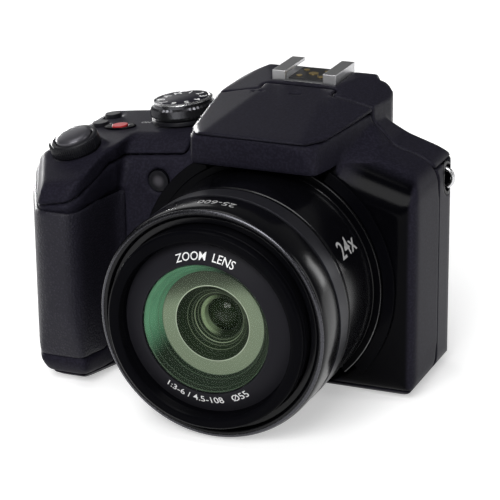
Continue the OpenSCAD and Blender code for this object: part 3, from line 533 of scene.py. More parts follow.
@made_once
def inner_cone(f):
    """The stepped rings behind the front glass: a pale face with painted shade over its top, a dark funnel
    with painted reflections along its ridges, a painted teal reflection on the left of the outer wall, and
    a painted highlight on the left of the pupil ring.
    """
    x, _, z = f.axes()
    radius = f.reach(x, z)
    turning = f.rings(radius, 2.6, 3.0)
    lines = f.step(turning, 0.54, 0.62)
    # Painted reflection: a teal cast over the left of the outer wall
    teal_reflection = f.step((z - LENS_HEIGHT) * 0.6 - x * 0.8, 5.0, 16.0)
    # Painted shade: the pale face turns darker towards its top
    top = f.step((z - LENS_HEIGHT) - 0.25 * x, 6.0, 14.0)
    wall = f.blend(teal_reflection, (0.014, 0.021, 0.014, 1.0), (0.13, 0.32, 0.20, 1.0))
    wall = f.blend(lines * 0.5, wall, (0.10, 0.14, 0.10, 1.0))
    face = f.blend(top, tuple(colours().coating), shade(colours().coating, 0.28))
    funnel = f.blend(lines * 0.4, (0.013, 0.020, 0.011, 1.0), (0.045, 0.060, 0.038, 1.0))
    # Painted highlight: the pupil ring is paler on its left side
    heart = f.blend(f.step(x, 0.5, -5.0), (0.012, 0.018, 0.010, 1.0), (0.22, 0.28, 0.17, 1.0))
    # Painted reflections: thin pale lines along the funnel's ridges
    for ridge, strength in FUNNEL_RIDGE_REFLECTIONS:
        inner = f.step(radius, ridge - RIDGE_HALF, ridge - RIDGE_CORE)
        line = inner * f.step(radius, ridge + RIDGE_HALF, ridge + RIDGE_CORE)
        funnel = f.blend(line * strength, funnel, (0.30, 0.35, 0.25, 1.0))
    tone = f.blend(f.step(radius, 6.75, 6.85), heart, funnel)
    tone = f.blend(f.step(radius, 11.7, 11.75), tone, (0.42, 0.46, 0.38, 1.0))
    tone = f.blend(f.step(radius, 12.0, 12.05), tone, face)
    tone = f.blend(f.step(radius, 16.35, 16.45), tone, wall)
    return f.principled({"Base Color": tone, "Roughness": 0.4 + 0.15 * turning,
                         "Specular IOR Level": 0.08})


@made_once
def inner_glass(f):
    return grained(f, 0.2, (0.008, 0.013, 0.006, 1.0), (0.015, 0.022, 0.012, 1.0), (0.05, 0.03),
                   {"Specular IOR Level": 0.16}, detail=2.0)


@made_once
def ground_glass(f):
    return grained(f, 0.4, (0.018, 0.024, 0.026, 1.0), (0.032, 0.042, 0.044, 1.0), (0.08, 0.05), detail=2.0)


@made_once
def lamp_lens(f):
    """Ringed lens of the focus lamp, paler at its middle."""
    x, _, z = f.axes()
    radius = f.reach(x, z, LAMP_AT)
    rings = f.node("TexWave", {"wave_type": "RINGS", "rings_direction": "SPHERICAL"}, {
        "Vector": f.node("CombineXYZ", {}, {0: radius, 1: 0.0, 2: 0.0}), "Scale": 0.9})
    tone = f.blend(f.step(radius, 2.5, 0.4), (0.005, 0.005, 0.007, 1.0), (0.055, 0.052, 0.060, 1.0))
    return f.principled({"Base Color": tone, "Roughness": 0.16 + 0.08 * rings,
                         "Normal": f.bump(rings, 0.25, 0.12, f.broken_edge()), "Specular IOR Level": 0.12})


def black_moulding(f, edge):
    return grained(f, 3.2, (0.006, 0.006, 0.008, 1.0), (0.012, 0.012, 0.015, 1.0), (0.3, 0.1),
                   {"Specular IOR Level": 0.2}, relief=(0.12, 0.03), edge=edge)


@made_once
def button_black(f):
    return black_moulding(f, edge=True)


@made_once
def ribbed_black(f):
    """As the buttons, with the moulded ribs left crisp."""
    return black_moulding(f, edge=False)


@made_once
def knurled_black(f):
    """Black plated metal with cut diamonds that glint."""
    return grained(f, 3.0, (0.050, 0.050, 0.055, 1.0), (0.090, 0.090, 0.098, 1.0), (0.2, 0.1),
                   {"Metallic": 0.85, "Specular IOR Level": 0.2})


@made_once
def shutter_satin(f):
    """Satin cap with the look of dark metal."""
    return grained(f, 5.0, (0.062, 0.061, 0.070, 1.0), (0.090, 0.088, 0.10, 1.0), (0.3, 0.08),
                   {"Metallic": 0.55}, relief=(0.06, 0.02))


@made_once
def record_red(f):
    red = colours().record
    return grained(f, 2.5, shade(red, 0.82), shade(red, 1.1), (0.32, 0.1), edge=True)


@made_once
def screen_gloss(f):
    """Dark monitor glass: a black printed border round a slightly lighter picture area."""
    x, _, z = f.axes()
    inside = (f.step(abs(x - SCREEN_AT[0]), SCREEN_HALF[0], SCREEN_HALF[0] - 0.4)
              * f.step(abs(z - SCREEN_AT[1]), SCREEN_HALF[1], SCREEN_HALF[1] - 0.4))
    haze = f.noise(f.millimetres(), 0.05, 3.0)
    picture = f.blend(haze, (0.011, 0.012, 0.016, 1.0), (0.017, 0.018, 0.023, 1.0))
    tone = f.blend(inside, (0.003, 0.003, 0.004, 1.0), picture)
    return f.principled({"Base Color": tone, "Roughness": 0.05 + 0.03 * haze, "Normal": f.broken_edge(),
                         "Specular IOR Level": 0.15})


@made_once
def inner_black(f):
    return grained(f, 1.2, (0.006, 0.006, 0.007, 1.0), (0.014, 0.014, 0.015, 1.0), (0.6, 0.15))


@made_once
def battery_sleeve(f):
    """Dark sleeve with a paler band round its middle."""
    band = f.step(abs(f.axes()[2] - BATTERY_MIDDLE), BATTERY_BAND, BATTERY_BAND - 0.4)
    fine = f.noise(f.millimetres(), 2.0)
    tone = f.blend(band, (0.04, 0.04, 0.045, 1.0), (0.12, 0.12, 0.125, 1.0))
    return f.principled({"Base Color": tone, "Roughness": 0.4 + 0.1 * fine})


@made_once
def screw_steel(f):
    """Dark plated fixings and pins."""
    return grained(f, 2.4, (0.20, 0.20, 0.21, 1.0), (0.30, 0.30, 0.31, 1.0), (0.28, 0.14),
                   {"Metallic": 1.0}, relief=(0.1, 0.02), edge=True)


@made_once
def studio_floor(f):
    """Pale sweep that reads as white to the camera, fades out far away and takes the object's shadow."""
    path = f.node("LightPath", output="Is Camera Ray")
    seen = f.either(f.either(path, path.other("Is Glossy Ray")), path.other("Is Transmission Ray"))
    matte = f.node("BsdfDiffuse", {}, {"Color": FLOOR_GREY})
    glow = f.node("Emission", {}, {"Color": WHITE, "Strength": FLOOR_GLOW})
    lit = f.node("AddShader", {}, {0: matte, 1: glow})
    white = f.node("Emission", {}, {"Color": WHITE, "Strength": 1.0})
    spot = f.node("TexCoord", output="Object")
    away = f.node("VectorMath", {"operation": "LENGTH"}, {0: spot}, output="Value")
    far = f.node("MapRange", {}, {"Value": away, "From Min": FLOOR_FADE[0], "From Max": FLOOR_FADE[1]})
    lit = f.node("MixShader", {}, {0: far, 1: lit, 2: white})
    return f.close(f.node("MixShader", {}, {0: seen, 1: matte, 2: lit}))


# Placing
def deck_frame(spot):
    """The rolled control deck at a spot given in plan, in mm."""
    roll = math.radians(DECK_ROLL)
    along = (spot[0] + DECK_EDGE) / math.cos(roll)
    return (Matrix.Translation(Vector((-DECK_EDGE, 0, DECK_HEIGHT)) * MM)
            @ Matrix.Rotation(-roll, 4, "Y") @ Matrix.Translation(Vector((along, spot[1], 0)) * MM))


def plateau_frame():
    """The tilted seat of the shutter button."""
    forward, sideways = (math.radians(angle) for angle in SHUTTER_TILT)
    return (deck_frame(SHUTTER_AT) @ Matrix.Translation(Vector((0, 0, -SHUTTER_SINK)) * MM)
            @ Matrix.Rotation(sideways, 4, "Y") @ Matrix.Rotation(forward, 4, "X"))


def lens_frame():
    """The lens axis, with the depth in front of the body as the local height."""
    return Matrix.Translation((0, 0, LENS_HEIGHT * MM)) @ Matrix.Rotation(math.radians(90), 4, "X")


def back_frame(spot):
    """Just off the back at a spot given by x and z in mm, facing backwards."""
    return (Matrix.Translation(Vector((spot[0], BACK_DEPTH + PRINT_LIFT, spot[1])) * MM)
            @ Matrix.Rotation(math.radians(180), 4, "Z") @ Matrix.Rotation(math.radians(90), 4, "X"))


def deselect():
    if bpy.context.object and bpy.context.object.mode != "OBJECT":
        bpy.ops.object.mode_set(mode="OBJECT")
    bpy.ops.object.select_all(action="DESELECT")


def only(piece):
    deselect()
    piece.select_set(True)
    bpy.context.view_layer.objects.active = piece


def settle(piece, place):
    """Moves a piece to its place and leaves the place in its mesh."""
    only(piece)
    piece.matrix_world = place
    bpy.ops.object.transform_apply(location=True, rotation=True, scale=True)
    return piece


def smooth(piece, angle=SMOOTH_ANGLE):
    only(piece)
    bpy.ops.object.shade_smooth_by_angle(angle=math.radians(angle))


def dress(piece, body, finish, slot, *nodes):
    """Gives a piece its finish and ties it to the body that carries it."""
    piece.data.materials.clear()
    piece.data.materials.append(finish())
    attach(piece, body)
    if nodes:
        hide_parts(*nodes)
    return piece


def repaint(finish, *nodes):
    """A solid whose shape is right keeps its mesh and gets a better finish."""
    for name in nodes:
        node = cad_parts[name]
        if not node.material_slots:
            node.data.materials.append(finish())
        for slot in node.material_slots:
            slot.material = finish()


def form_points(mesh, low, high, step):
    """Points along the edges where two faces meet at a blunt angle, which a mould would round."""
    faces = {}
    for face in mesh.polygons:
        for key in face.edge_keys:
            faces.setdefault(key, []).append(face.normal)
    points = []
    for edge in mesh.edges:
        pair = faces.get(edge.key, ())
        if len(pair) == 2 and low < pair[0].angle(pair[1], 0.0) < high:
            first, second = (mesh.vertices[k].co for k in edge.vertices)
            count = max(1, round((second - first).length / step))
            points += [first.lerp(second, k / count) for k in range(count + 1)]
    return points


def softened(name, body, finish, slot, cell, reach, rounds, blunt=75):
    """A copy of a moulded cover, meshed evenly, with its blunt edges worn round; lengths in mm."""
    only(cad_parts[name])
    bpy.ops.object.duplicate()
    piece = bpy.context.object
    piece.name = name + "_skin"
    for key in [key for key in piece.keys() if key.startswith("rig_")]:
        del piece[key]
    bpy.ops.object.mode_set(mode="EDIT")
    bpy.ops.mesh.select_all(action="SELECT")
    bpy.ops.mesh.remove_doubles(threshold=1e-6)
    bpy.ops.mesh.dissolve_limited(angle_limit=math.radians(FLAT_ANGLE))
    bpy.ops.mesh.customdata_custom_splitnormals_clear()
    bpy.ops.object.mode_set(mode="OBJECT")
    points = form_points(piece.data, math.radians(FORM_ANGLE), math.radians(blunt), POINT_SPACING * MM)
    near = KDTree(len(points))
    for index, point in enumerate(points):
        near.insert(point, index)
    near.balance()
    piece.data.remesh_voxel_size = cell * MM
    piece.data.remesh_voxel_adaptivity = 0.0
    bpy.ops.object.voxel_remesh()
    worn = piece.vertex_groups.new(name="worn")
    for vertex in piece.data.vertices:
        away = near.find(vertex.co)[2] / MM
        weight = min(1.0, WEAR_RAMP * (1.0 - away / reach))
        if weight > 0.0:
            worn.add([vertex.index], weight, "REPLACE")
    wear = piece.modifiers.new("wear", "SMOOTH")
    wear.factor = WEAR_FACTOR
    wear.iterations = rounds
    wear.vertex_group = "worn"
    bpy.ops.object.modifier_apply(modifier="wear")
    thin = piece.modifiers.new("thin", "DECIMATE")
    thin.ratio = KEPT_FACES
    bpy.ops.object.modifier_apply(modifier="thin")
    piece.vertex_groups.clear()
    smooth(piece, COVER_ANGLE)
    return dress(piece, body, finish, slot, name)


def turned(name, profile, place, steps=96, angle=SMOOTH_ANGLE):
    """A turned piece: a profile of (radius, height) points in mm swept about the local upright axis."""
    deselect()
    bpy.ops.mesh.primitive_circle_add(vertices=len(profile), fill_type="NOTHING")
    piece = bpy.context.object
    piece.name = name
    for vertex, (radius, height) in zip(piece.data.vertices, profile):
        vertex.co = Vector((radius, 0, height)) * MM
    on_axis = profile[0][0] == 0 and profile[-1][0] == 0
    bpy.ops.object.mode_set(mode="EDIT")
    if on_axis:
        last = len(profile) - 1
        bpy.ops.mesh.select_all(action="DESELECT")
        bpy.ops.mesh.select_mode(type="EDGE")
        bpy.ops.object.mode_set(mode="OBJECT")
        for edge in piece.data.edges:
            edge.select = set(edge.vertices) == {0, last}
        bpy.ops.object.mode_set(mode="EDIT")
        bpy.ops.mesh.delete(type="EDGE")
        bpy.ops.mesh.select_mode(type="VERT")
    bpy.ops.mesh.select_all(action="SELECT")
    bpy.ops.mesh.spin(steps=steps, angle=2 * math.pi, center=(0, 0, 0), axis=(0, 0, 1))
    bpy.ops.mesh.select_all(action="SELECT")
    bpy.ops.mesh.remove_doubles(threshold=2e-6)
    bpy.ops.mesh.normals_make_consistent(inside=False)
    bpy.ops.object.mode_set(mode="OBJECT")
    settle(piece, place)
    smooth(piece, angle)
    return piece


def letters(name, words, height):
    """Printed figures as a thin flat mesh, centred on the local origin, readable from above."""
    deselect()
    bpy.ops.object.text_add()
    text = bpy.context.object
    text.name = name
    text.data.body = words
    text.data.size = height / CAPITAL_SHARE
    text.data.align_x = "CENTER"
    text.data.align_y = "CENTER"
    text.data.extrude = PRINT_THICKNESS * MM
    text.data.offset = BOLDNESS * height
    text.data.resolution_u = 3
    bpy.ops.object.convert(target="MESH")
    return bpy.context.object


def join(name, pieces):
    deselect()
    for piece in pieces:
        piece.select_set(True)
    bpy.context.view_layer.objects.active = pieces[0]
    bpy.ops.object.join()
    joined = bpy.context.object
    joined.name = name
    return joined


def curl(piece, radius, height, upper):
    """Bends a flat line of figures round the lens axis; height gives the surface above a radius, in m."""
    for vertex in piece.data.vertices:
        x, y, z = vertex.co
        reach = radius + y if upper else radius - y
        turn = x / radius
        up = 1 if upper else -1
        vertex.co = (reach * math.sin(turn), up * reach * math.cos(turn), height(reach) + z)


def wrap(piece, radius, turn, depth, lengthwise):
    """Lays flat figures on a barrel, read across it or along it; lengths in m."""
    for vertex in piece.data.vertices:
        x, y, z = vertex.co
        across, ahead = (y, -x) if lengthwise else (x, y)
        angle = turn - across / radius
        vertex.co = ((radius + z) * math.sin(angle), (radius + z) * math.cos(angle), depth + ahead)
    return settle(piece, lens_frame())


def block(name, low, high, place, round_by):
    """A small moulded block with broken edges, between two corners in mm."""
    deselect()
    bpy.ops.mesh.primitive_cube_add(size=1)
    piece = bpy.context.object
    piece.name = name
    middle = [(a + b) / 2 * MM for a, b in zip(low, high)]
    span = [(b - a) * MM for a, b in zip(low, high)]
    piece.matrix_world = Matrix.Translation(middle) @ Matrix.Diagonal((*span, 1))
    bpy.ops.object.transform_apply(location=True, rotation=True, scale=True)
    bpy.ops.object.mode_set(mode="EDIT")
    bpy.ops.mesh.select_all(action="SELECT")
    bpy.ops.mesh.bevel(offset=round_by * MM, segments=2, affect="EDGES")
    bpy.ops.object.mode_set(mode="OBJECT")
    settle(piece, place)
    return piece


def word_marks(name, rows, place_of, finish):
    """Prints plain words, each at its own spot on the casing, as one piece."""
    lines = []
    for words, spot, height in rows:
        lines.append(settle(letters(name, words, height * MM), place_of(spot)))
    return dress(join(name, lines), "casing", finish, "bright_ring")


def deck_skirt():
    """The tapered strip between the back edge of the rolled deck and the rear cover."""
    half = Vector((0.5, 0.5, 0.5))
    strip = block("deck_skirt", -half, half, Matrix.Identity(4), 0.06)
    for vertex in strip.data.vertices:
        x, y, z = vertex.co / MM + half
        along = SKIRT_ENDS[0] + x * (SKIRT_ENDS[1] - SKIRT_ENDS[0])
        depth = SKIRT_DEPTHS[0] + y * (SKIRT_DEPTHS[1] - SKIRT_DEPTHS[0])
        head = DECK_HEIGHT - DECK_THICKNESS + (along + DECK_EDGE) * math.tan(math.radians(DECK_ROLL))
        vertex.co = Vector((along, depth, SKIRT_FOOT + z * (head - SKIRT_FOOT))) * MM
    return strip


# Profiles of turned pieces: (radius, height) in mm
def fixed_profile():
    """The fixed barrel: two grooves, the seat of the metal band, a rounded rim and the bore."""
    r = BARREL_RADIUS
    return [
        (24.0, 5.0), (r, 5.0), (r, 12.6), (r - 0.3, 12.8), (r - 0.3, 13.2), (r, 13.4),
        (r, 33.6), (r - 0.35, 33.8), (r - 0.35, 34.6), (r, 34.8), (r, 35.7), (r - 1.2, 35.7),
        (r - 1.2, 43.0), (r, 43.0), (r + 0.1, 43.4), (r + 0.1, 52.0), (r, 52.6), (r - 0.1, 53.2),
        (r - 0.35, 53.9), (r - 0.8, 54.5), (r - 1.3, RIM_DEPTH),
        (34.4, RIM_DEPTH), (33.9, 54.5), (33.6, 54.0), (33.6, 7.0), (24.0, 7.0)]


def lip_profile():
    """The bare edge along the fixed barrel's rim."""
    r = BARREL_RADIUS
    return [(r - 1.3, RIM_DEPTH - 0.06), (r - 0.75, 54.44), (r - 0.5, 54.3), (r - 0.62, 54.52),
            (r - 1.05, 54.8), (r - 1.5, 54.86), (r - 1.6, RIM_DEPTH - 0.06)]


def front_profile():
    """The front barrel: a groove, a rolled rim and the ridges of the filter thread."""
    r, thread = FRONT_RADIUS, FILTER_RADIUS
    points = [(r - 2.2, 18.0), (r, 18.0), (r, 57.2), (r - 0.35, 57.4), (r - 0.35, 58.0), (r, 58.2),
              (r, 59.4), (r - 0.25, 59.9), (r - 0.8, LENS_DEPTH), (28.5, LENS_DEPTH), (28.1, 60.1)]
    pitch = sizes().thread_pitch / MM
    depth = 59.8
    while depth - pitch > SEAT_DEPTH:
        points += [(thread, depth), (thread + 0.42, depth - 0.5 * pitch)]
        depth -= pitch
    return points + [(thread, depth), (thread, SEAT_DEPTH), (thread - 0.6, SEAT_DEPTH - 1),
                     (thread - 0.6, SEAT_DEPTH - 2.4), (r - 2.2, SEAT_DEPTH - 2.4)]


def steps_profile():
    """The stepped rings seen through the front glass."""
    return [
        (20.0, 58.1), (18.9, 56.5), (18.8, 56.6), (18.6, 56.2), (17.7, 54.8), (17.6, 54.9), (17.4, 54.4),
        (16.4, 52.7), (16.3, 52.5), (12.1, 52.8), (12.0, 53.0), (11.75, 53.0), (11.6, 52.6), (9.6, 49.8),
        (9.5, 49.9), (9.3, 49.6), (8.1, 47.9), (8.0, 48.0), (7.8, 47.7), (6.8, 46.0), (6.6, 46.3),
        (6.0, 46.5), (5.5, 46.1), (5.3, 45.0), (5.3, 41.2), (19.5, 41.2), (20.2, 47.0), (20.2, 52.6),
        (20.2, 57.6)]


def dome(reach, crown, ball, count):
    """A spherical face from its middle out to a radius; ball is the sphere's radius."""
    rise = [reach * k / count for k in range(count + 1)]
    return [(radius, crown - ball + math.sqrt(ball * ball - radius * radius)) for radius in rise]


# Operators
class BRIDGE_OT_covers(bpy.types.Operator):
    """Finish the moulded covers, doors and shells"""
    bl_idname = "bridge.covers"
    bl_label = "Covers"

    def execute(self, context):
        softened("top_cover", "casing", deck_plastic, "deck_black", cell=0.5, reach=6.0, rounds=40)
        softened("front_cover", "casing", front_plastic, "shell_black", cell=0.6, reach=6.0, rounds=40)
        softened("hump_cover", "casing", casing_plastic, "shell_black", cell=0.5, reach=4.0, rounds=16)
        softened("flash_lid", "flash_unit", casing_plastic, "shell_black", cell=0.5, reach=4.0, rounds=16)
        softened("base_cover", "casing", casing_plastic, "shell_black", cell=0.5, reach=2.6, rounds=14,
                 blunt=100)
        repaint(casing_plastic, "rear_cover", "battery_door", "terminal_door")
        repaint(gloss_black, "lens_surround", "strap_cups")
        dress(deck_skirt(), "casing", casing_plastic, "shell_black")
        return {"FINISHED"}


class BRIDGE_OT_grip(bpy.types.Operator):
    """Finish the pebbled rubbers and the soft eyecup"""
    bl_idname = "bridge.grip"
    bl_label = "Rubbers"

    def execute(self, context):
        softened("grip_rubber", "casing", pebbled_rubber, "rubber_black", cell=0.45, reach=9.0, rounds=110)
        repaint(pebbled_rubber, "thumb_rubber")
        repaint(soft_rubber, "eyecup", "diopter_knob")
        return {"FINISHED"}


class BRIDGE_OT_barrels(bpy.types.Operator):
    """Turn the fixed barrel and the front barrel with its filter thread"""
    bl_idname = "bridge.barrels"
    bl_label = "Lens barrels"

    def execute(self, context):
        barrel = turned("barrel_skin", fixed_profile(), lens_frame(), steps=160)
        dress(barrel, "casing", barrel_lacquer, "barrel_black", "fixed_barrel")
        edge = turned("barrel_edge", lip_profile(), lens_frame(), steps=160)
        dress(edge, "casing", polished_edge, "band_grey")
        tube = turned("front_ring", front_profile(), lens_frame(), steps=160)
        dress(tube, "front_tube", front_lacquer, "barrel_black", "front_barrel")
        height = sizes().barrel_letter
        upper = letters("barrel_top", "25-600", height)
        wrap(upper, (BARREL_RADIUS + 0.1) * MM, turn=0.0, depth=48.4 * MM, lengthwise=False)
        side = letters("barrel_side", "24x", 1.9 * height)
        wrap(side, BARREL_RADIUS * MM, turn=math.radians(60), depth=23.5 * MM, lengthwise=True)
        dress(join("barrel_figures", [upper, side]), "casing", printed_grey, "bright_ring")
        repaint(barrel_lacquer, "mid_barrel")
        repaint(band_metal, "barrel_band")
        repaint(trim_ring, "lens_base_ring")
        return {"FINISHED"}


class BRIDGE_OT_glass(bpy.types.Operator):
    """Turn the front glass and the stepped wall and inner glass seen through it"""
    bl_idname = "bridge.glass"
    bl_label = "Lens glass"

    def execute(self, context):
        glass = dome(GLASS_RADIUS, LENS_DEPTH - 0.3, ball=140.0, count=12)
        glass += [(GLASS_RADIUS, LENS_DEPTH - 2.0), (GLASS_RADIUS - 0.2, LENS_DEPTH - 2.1),
                  (0, LENS_DEPTH - 1.3)]
        lens = turned("front_glass", glass, lens_frame())
        dress(lens, "front_tube", coated_glass, "glass", "front_element")
        steps = turned("lens_steps", steps_profile(), lens_frame(), angle=20)
        dress(steps, "front_tube", inner_cone, "glass", "second_element")
        pupil = dome(5.25, 46.4, ball=7.0, count=8) + [(5.25, 41.4), (0, 41.4)]
        heart = turned("inner_lens", pupil, lens_frame(), steps=64)
        dress(heart, "front_tube", inner_glass, "glass")
        repaint(ground_glass, "rear_lens_group", "zoom_lens_group", "eyepiece_lens")
        repaint(lamp_lens, "focus_lamp")
        return {"FINISHED"}


class BRIDGE_OT_front_ring(bpy.types.Operator):
    """Turn the conical ring round the glass and print plain figures on it"""
    bl_idname = "bridge.front_ring"
    bl_label = "Front ring"

    def execute(self, context):
        inner, outer = GLASS_RADIUS, FILTER_RADIUS - 0.6
        high, low = LENS_DEPTH - 1.6, SEAT_DEPTH - 1
        ring = [(inner + 0.15, high), (inner + 0.5, high + 0.02), (inner + 0.9, high - 0.12), (outer, low),
                (outer, low - 1.4), (29.0, low - 1.4), (29.0, low - 3), (inner - 1.5, low - 3),
                (inner - 1.5, LENS_DEPTH - 6.4), (inner + 0.02, LENS_DEPTH - 6.2)]
        cone = turned("name_cone", ring, lens_frame(), steps=128)
        dress(cone, "front_tube", ring_paint, "barrel_black", "name_ring")
        slope = (low - high) / (outer - inner - 0.9)

        def surface(reach):
            return (high - 0.12 + slope * (reach / MM - inner - 0.9) + 0.04) * MM
        middle = inner + 2.5
        top = letters("ring_top", "ZOOM  LENS", sizes().ring_letter)
        curl(top, middle * MM, surface, upper=True)
        bottom = letters("ring_bottom", "1:3-6 / 4.5-108   Ø55", sizes().ring_letter)
        curl(bottom, middle * MM, surface, upper=False)
        for line in (top, bottom):
            settle(line, lens_frame())
        figures = join("ring_figures", [top, bottom])
        dress(figures, "front_tube", printed_white, "bright_ring")
        return {"FINISHED"}


class BRIDGE_OT_mode_dial(bpy.types.Operator):
    """Knurl the mode dial, give it a bright rim and print its marks"""
    bl_idname = "bridge.mode_dial"
    bl_label = "Mode dial"

    def execute(self, context):
        place = deck_frame(DIAL_AT)
        radius, base, top = DIAL_RADIUS, DIAL_FOOT, DIAL_TOP
        rows = [base + 1.0 + KNURL_PITCH * k for k in range(KNURL_ROWS)]
        side = [(radius - 0.4, base), (radius - 0.15, base + 0.35)]
        side += [(radius, height) for height in rows]
        side += [(radius - 0.15, rows[-1] + 0.7), (radius - 0.2, top - 0.75), (radius - 1.3, top - 0.5),
                 (0, top - 0.5)]
        stem = [(0, base - 9.0), (4.0, base - 9.0), (4.0, base)]
        steps = 2 * sizes().knurl_count
        dial = turned("dial_body", stem + side, Matrix.Identity(4), steps)
        depth = sizes().knurl_depth
        for vertex in dial.data.vertices:
            height = vertex.co.z / MM
            reach = math.hypot(vertex.co.x, vertex.co.y)
            row = round((height - rows[0]) / KNURL_PITCH)
            if abs(reach - radius * MM) < 0.05 * MM and 0 <= row < KNURL_ROWS:
                spoke = round(math.atan2(vertex.co.y, vertex.co.x) / (2 * math.pi) * steps)
                swell = depth if (spoke + row) % 2 else -depth * 0.5
                vertex.co.x *= 1 + swell / reach
                vertex.co.y *= 1 + swell / reach
        settle(dial, place)
        smooth(dial, angle=8)
        dress(dial, "mode_dial", knurled_black, "button_black", "mode_dial")
        rim = [(radius - 0.28, top - 0.72), (radius - 0.1, top - 0.62), (radius - 0.1, top - 0.42),
               (radius - 0.75, top - 0.02), (radius - 0.95, top), (radius - 1.1, top - 0.08),
               (radius - 1.15, top - 0.55)]
        bright = turned("dial_rim", rim, place)
        dress(bright, "mode_dial", bright_metal, "satin_metal")
        face = [(0, top - 0.55), (radius - 1.1, top - 0.55), (radius - 1.1, top - 0.22),
                (radius - 1.3, top - 0.16), (0, top - 0.16)]
        plate = turned("dial_face", face, place, steps=64)
        dress(plate, "mode_dial", casing_plastic, "deck_black")
        marks = []
        labels = ["1", "2", "3", "4", "5", "6", "7", "8", "A", "M"]
        for k, label in enumerate(labels):
            mark = letters("dial_mark", label, sizes().dial_letter)
            turn = Matrix.Rotation(math.radians(-360 / len(labels) * k), 4, "Z")
            settle(mark, place @ turn @ Matrix.Translation((0, 6.7 * MM, (top - 0.13) * MM)))
            marks.append(mark)
        dress(join("dial_marks", marks), "mode_dial", printed_white, "bright_ring")
        return {"FINISHED"}


class BRIDGE_OT_shutter(bpy.types.Operator):
    """Turn the domed shutter button and the ribbed zoom lever round it"""
    bl_idname = "bridge.shutter"
    bl_label = "Shutter and zoom lever"

    def execute(self, context):
        place = plateau_frame()
        cap = [(0, -6.0), (5.8, -6.0), (5.8, 4.3), (5.72, 4.7), (5.45, 5.05), (5.0, 5.3), (4.2, 5.52),
               (3.0, 5.72), (1.5, 5.82), (0, 5.85)]
        button = turned("shutter_cap", cap, place)
        dress(button, "shutter_button", shutter_satin, "satin_metal", "shutter_button")
        ring = [(6.1, -9.6), (8.4, -9.6), (8.4, -8.6), (7.2, -8.6), (7.2, 0.4), (7.6, 0.4), (7.8, 0.6),
                (7.8, 3.3), (7.7, 3.75), (7.4, 4.05), (7.0, 4.2), (6.4, 4.2), (6.1, 4.0)]
        pieces = [turned("lever_collar", ring, place)]
        ribs, spacing, first = 31, 5, -165
        for k in range(ribs):
            turn = Matrix.Rotation(math.radians(first + spacing * k), 4, "Z")
            pieces.append(block("lever_rib", (7.2, -0.2, 0.6), (8.3, 0.2, 3.9), place @ turn, 0.1))
        lever = join("lever_ring", pieces)
        smooth(lever)
        dress(lever, "zoom_lever", ribbed_black, "button_black", "zoom_lever")
        return {"FINISHED"}


class BRIDGE_OT_buttons(bpy.types.Operator):
    """Finish the push buttons and wheels and print their plain marks"""
    bl_idname = "bridge.buttons"
    bl_label = "Buttons and marks"

    def execute(self, context):
        repaint(button_black, "power_lever", "burst_button", "focus_button", "rear_dial", "cursor_pad",
                "set_button", "lock_button", "playback_button", "display_button", "menu_button",
                "finder_button", "flash_release", "door_latch")
        repaint(record_red, "record_button")
        ring = [(2.8, -0.2), (3.5, -0.2), (3.5, 0.25), (3.3, 0.5), (3.0, 0.55), (2.8, 0.4)]
        oval = turned("record_oval", ring, Matrix.Identity(4), steps=64)
        for vertex in oval.data.vertices:
            if math.hypot(vertex.co.x, vertex.co.y) > 2.9 * MM:
                vertex.co.x *= 1.6
        settle(oval, deck_frame(RECORD_AT))
        dress(oval, "casing", gloss_black, "button_black")
        on_back = [("MENU", (-66.0, 15.2), 1.5), ("DISP", (-40.0, 18.6), 1.5), ("LOCK", (-40.0, 60.6), 1.5),
                   ("▶", (-40.0, 47.8), 2.0), ("EVF", (32.0, 69.0), 1.5)]
        word_marks("back_marks", on_back, back_frame, printed_white)
        on_deck = [("ON", (-51.5, 14.0), 1.5), ("OFF", (-50.0, 22.0), 1.5)]
        lift = Matrix.Translation((0, 0, PRINT_LIFT * MM))
        word_marks("deck_marks", on_deck, lambda spot: deck_frame(spot) @ lift, printed_grey)
        return {"FINISHED"}


class BRIDGE_OT_flash(bpy.types.Operator):
    """Finish the flash parts and the hot shoe"""
    bl_idname = "bridge.flash"
    bl_label = "Flash and shoe"

    def execute(self, context):
        repaint(brushed_metal, "hot_shoe")
        repaint(shoe_contacts, "hot_shoe_contacts")
        repaint(inner_black, "flash_head", "flash_capacitor")
        repaint(clear_window, "flash_window", "flash_tube")
        repaint(screw_steel, "hinge_pins")
        return {"FINISHED"}


class BRIDGE_OT_finder(bpy.types.Operator):
    """Finish the eyepiece and the monitor"""
    bl_idname = "bridge.finder"
    bl_label = "Finder and screen"

    def execute(self, context):
        repaint(button_black, "eyepiece_frame")
        repaint(screen_gloss, "screen_glass")
        repaint(inner_black, "screen_panel")
        return {"FINISHED"}


class BRIDGE_OT_fittings(bpy.types.Operator):
    """Finish the strap loops, fixings, battery and what sits inside"""
    bl_idname = "bridge.fittings"
    bl_label = "Fittings and inside"

    def execute(self, context):
        repaint(bright_metal, "strap_loops")
        repaint(screw_steel, "fixings")
        repaint(battery_sleeve, "battery")
        repaint(inner_black, "chassis", "lens_cup", "image_sensor")
        repaint(gloss_black, "terminal_sockets")
        return {"FINISHED"}


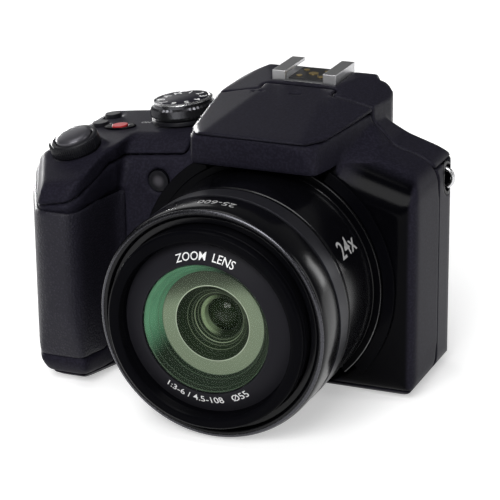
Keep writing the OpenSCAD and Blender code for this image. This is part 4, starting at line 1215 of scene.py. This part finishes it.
class BRIDGE_OT_stage(bpy.types.Operator):
    """Set the pale floor, the soft studio light and the photograph's view"""
    bl_idname = "bridge.stage"
    bl_label = "Studio"

    def execute(self, context):
        scene = context.scene
        scene.view_settings.view_transform = "Standard"
        deselect()
        bpy.ops.mesh.primitive_plane_add(size=FLOOR_SIZE, location=(0, 0, -FLOOR_DROP))
        floor = bpy.context.object
        floor.name = "studio_floor"
        floor.data.materials.append(studio_floor())
        world = bpy.data.worlds.new("studio_air")
        scene.world = world
        world.use_nodes = True
        air = world.node_tree.nodes["Background"]
        air.inputs["Color"].default_value = WHITE
        air.inputs["Strength"].default_value = AIR_STRENGTH
        for name, spot, aim, wide, tall, watts in LAMPS:
            deselect()
            bpy.ops.object.light_add(type="AREA", location=spot)
            lamp = bpy.context.object
            lamp.name = name
            lamp.data.shape = "RECTANGLE"
            lamp.data.size = wide
            lamp.data.size_y = tall
            lamp.data.energy = watts
            lamp.rotation_euler = (Vector(aim) - Vector(spot)).to_track_quat("-Z", "Y").to_euler()
        deselect()
        bpy.ops.object.camera_add()
        camera = bpy.context.object
        camera.name = "photo_view"
        camera.matrix_world = Matrix.Translation(VIEW_FROM) @ Matrix(VIEW_TURN).to_4x4()
        camera.data.sensor_width = SENSOR_WIDTH
        camera.data.lens = FOCAL_LENGTH
        camera.data.clip_start = NEAR_CLIP
        scene.camera = camera
        return {"FINISHED"}


OPERATORS = (BRIDGE_OT_covers, BRIDGE_OT_grip, BRIDGE_OT_barrels, BRIDGE_OT_glass, BRIDGE_OT_front_ring,
             BRIDGE_OT_mode_dial, BRIDGE_OT_shutter, BRIDGE_OT_buttons, BRIDGE_OT_flash, BRIDGE_OT_finder,
             BRIDGE_OT_fittings, BRIDGE_OT_stage)


class BRIDGE_PT_dressing(bpy.types.Panel):
    """Sizes, colours and pieces of the bridge camera"""
    bl_idname = "BRIDGE_PT_dressing"
    bl_label = "Bridge Camera"
    bl_space_type = "VIEW_3D"
    bl_region_type = "UI"
    bl_category = "Camera"

    def draw(self, context):
        layout = self.layout
        for group in (context.scene.bridge_camera_sizes, context.scene.bridge_camera_colours):
            box = layout.box()
            for name in group.__annotations__:
                box.prop(group, name)
        for operator in OPERATORS:
            layout.operator(operator.bl_idname)


CLASSES = (CameraSizes, CameraColours, *OPERATORS, BRIDGE_PT_dressing)


def register():
    for cls in CLASSES:
        bpy.utils.register_class(cls)
    bpy.types.Scene.bridge_camera_sizes = bpy.props.PointerProperty(type=CameraSizes)
    bpy.types.Scene.bridge_camera_colours = bpy.props.PointerProperty(type=CameraColours)


def unregister():
    del bpy.types.Scene.bridge_camera_colours
    del bpy.types.Scene.bridge_camera_sizes
    for cls in reversed(CLASSES):
        bpy.utils.unregister_class(cls)


def main():
    register()
    for operator in OPERATORS:
        group, name = operator.bl_idname.split(".")
        getattr(getattr(bpy.ops, group), name)()
    deselect()


if __name__ == "__main__":
    main()
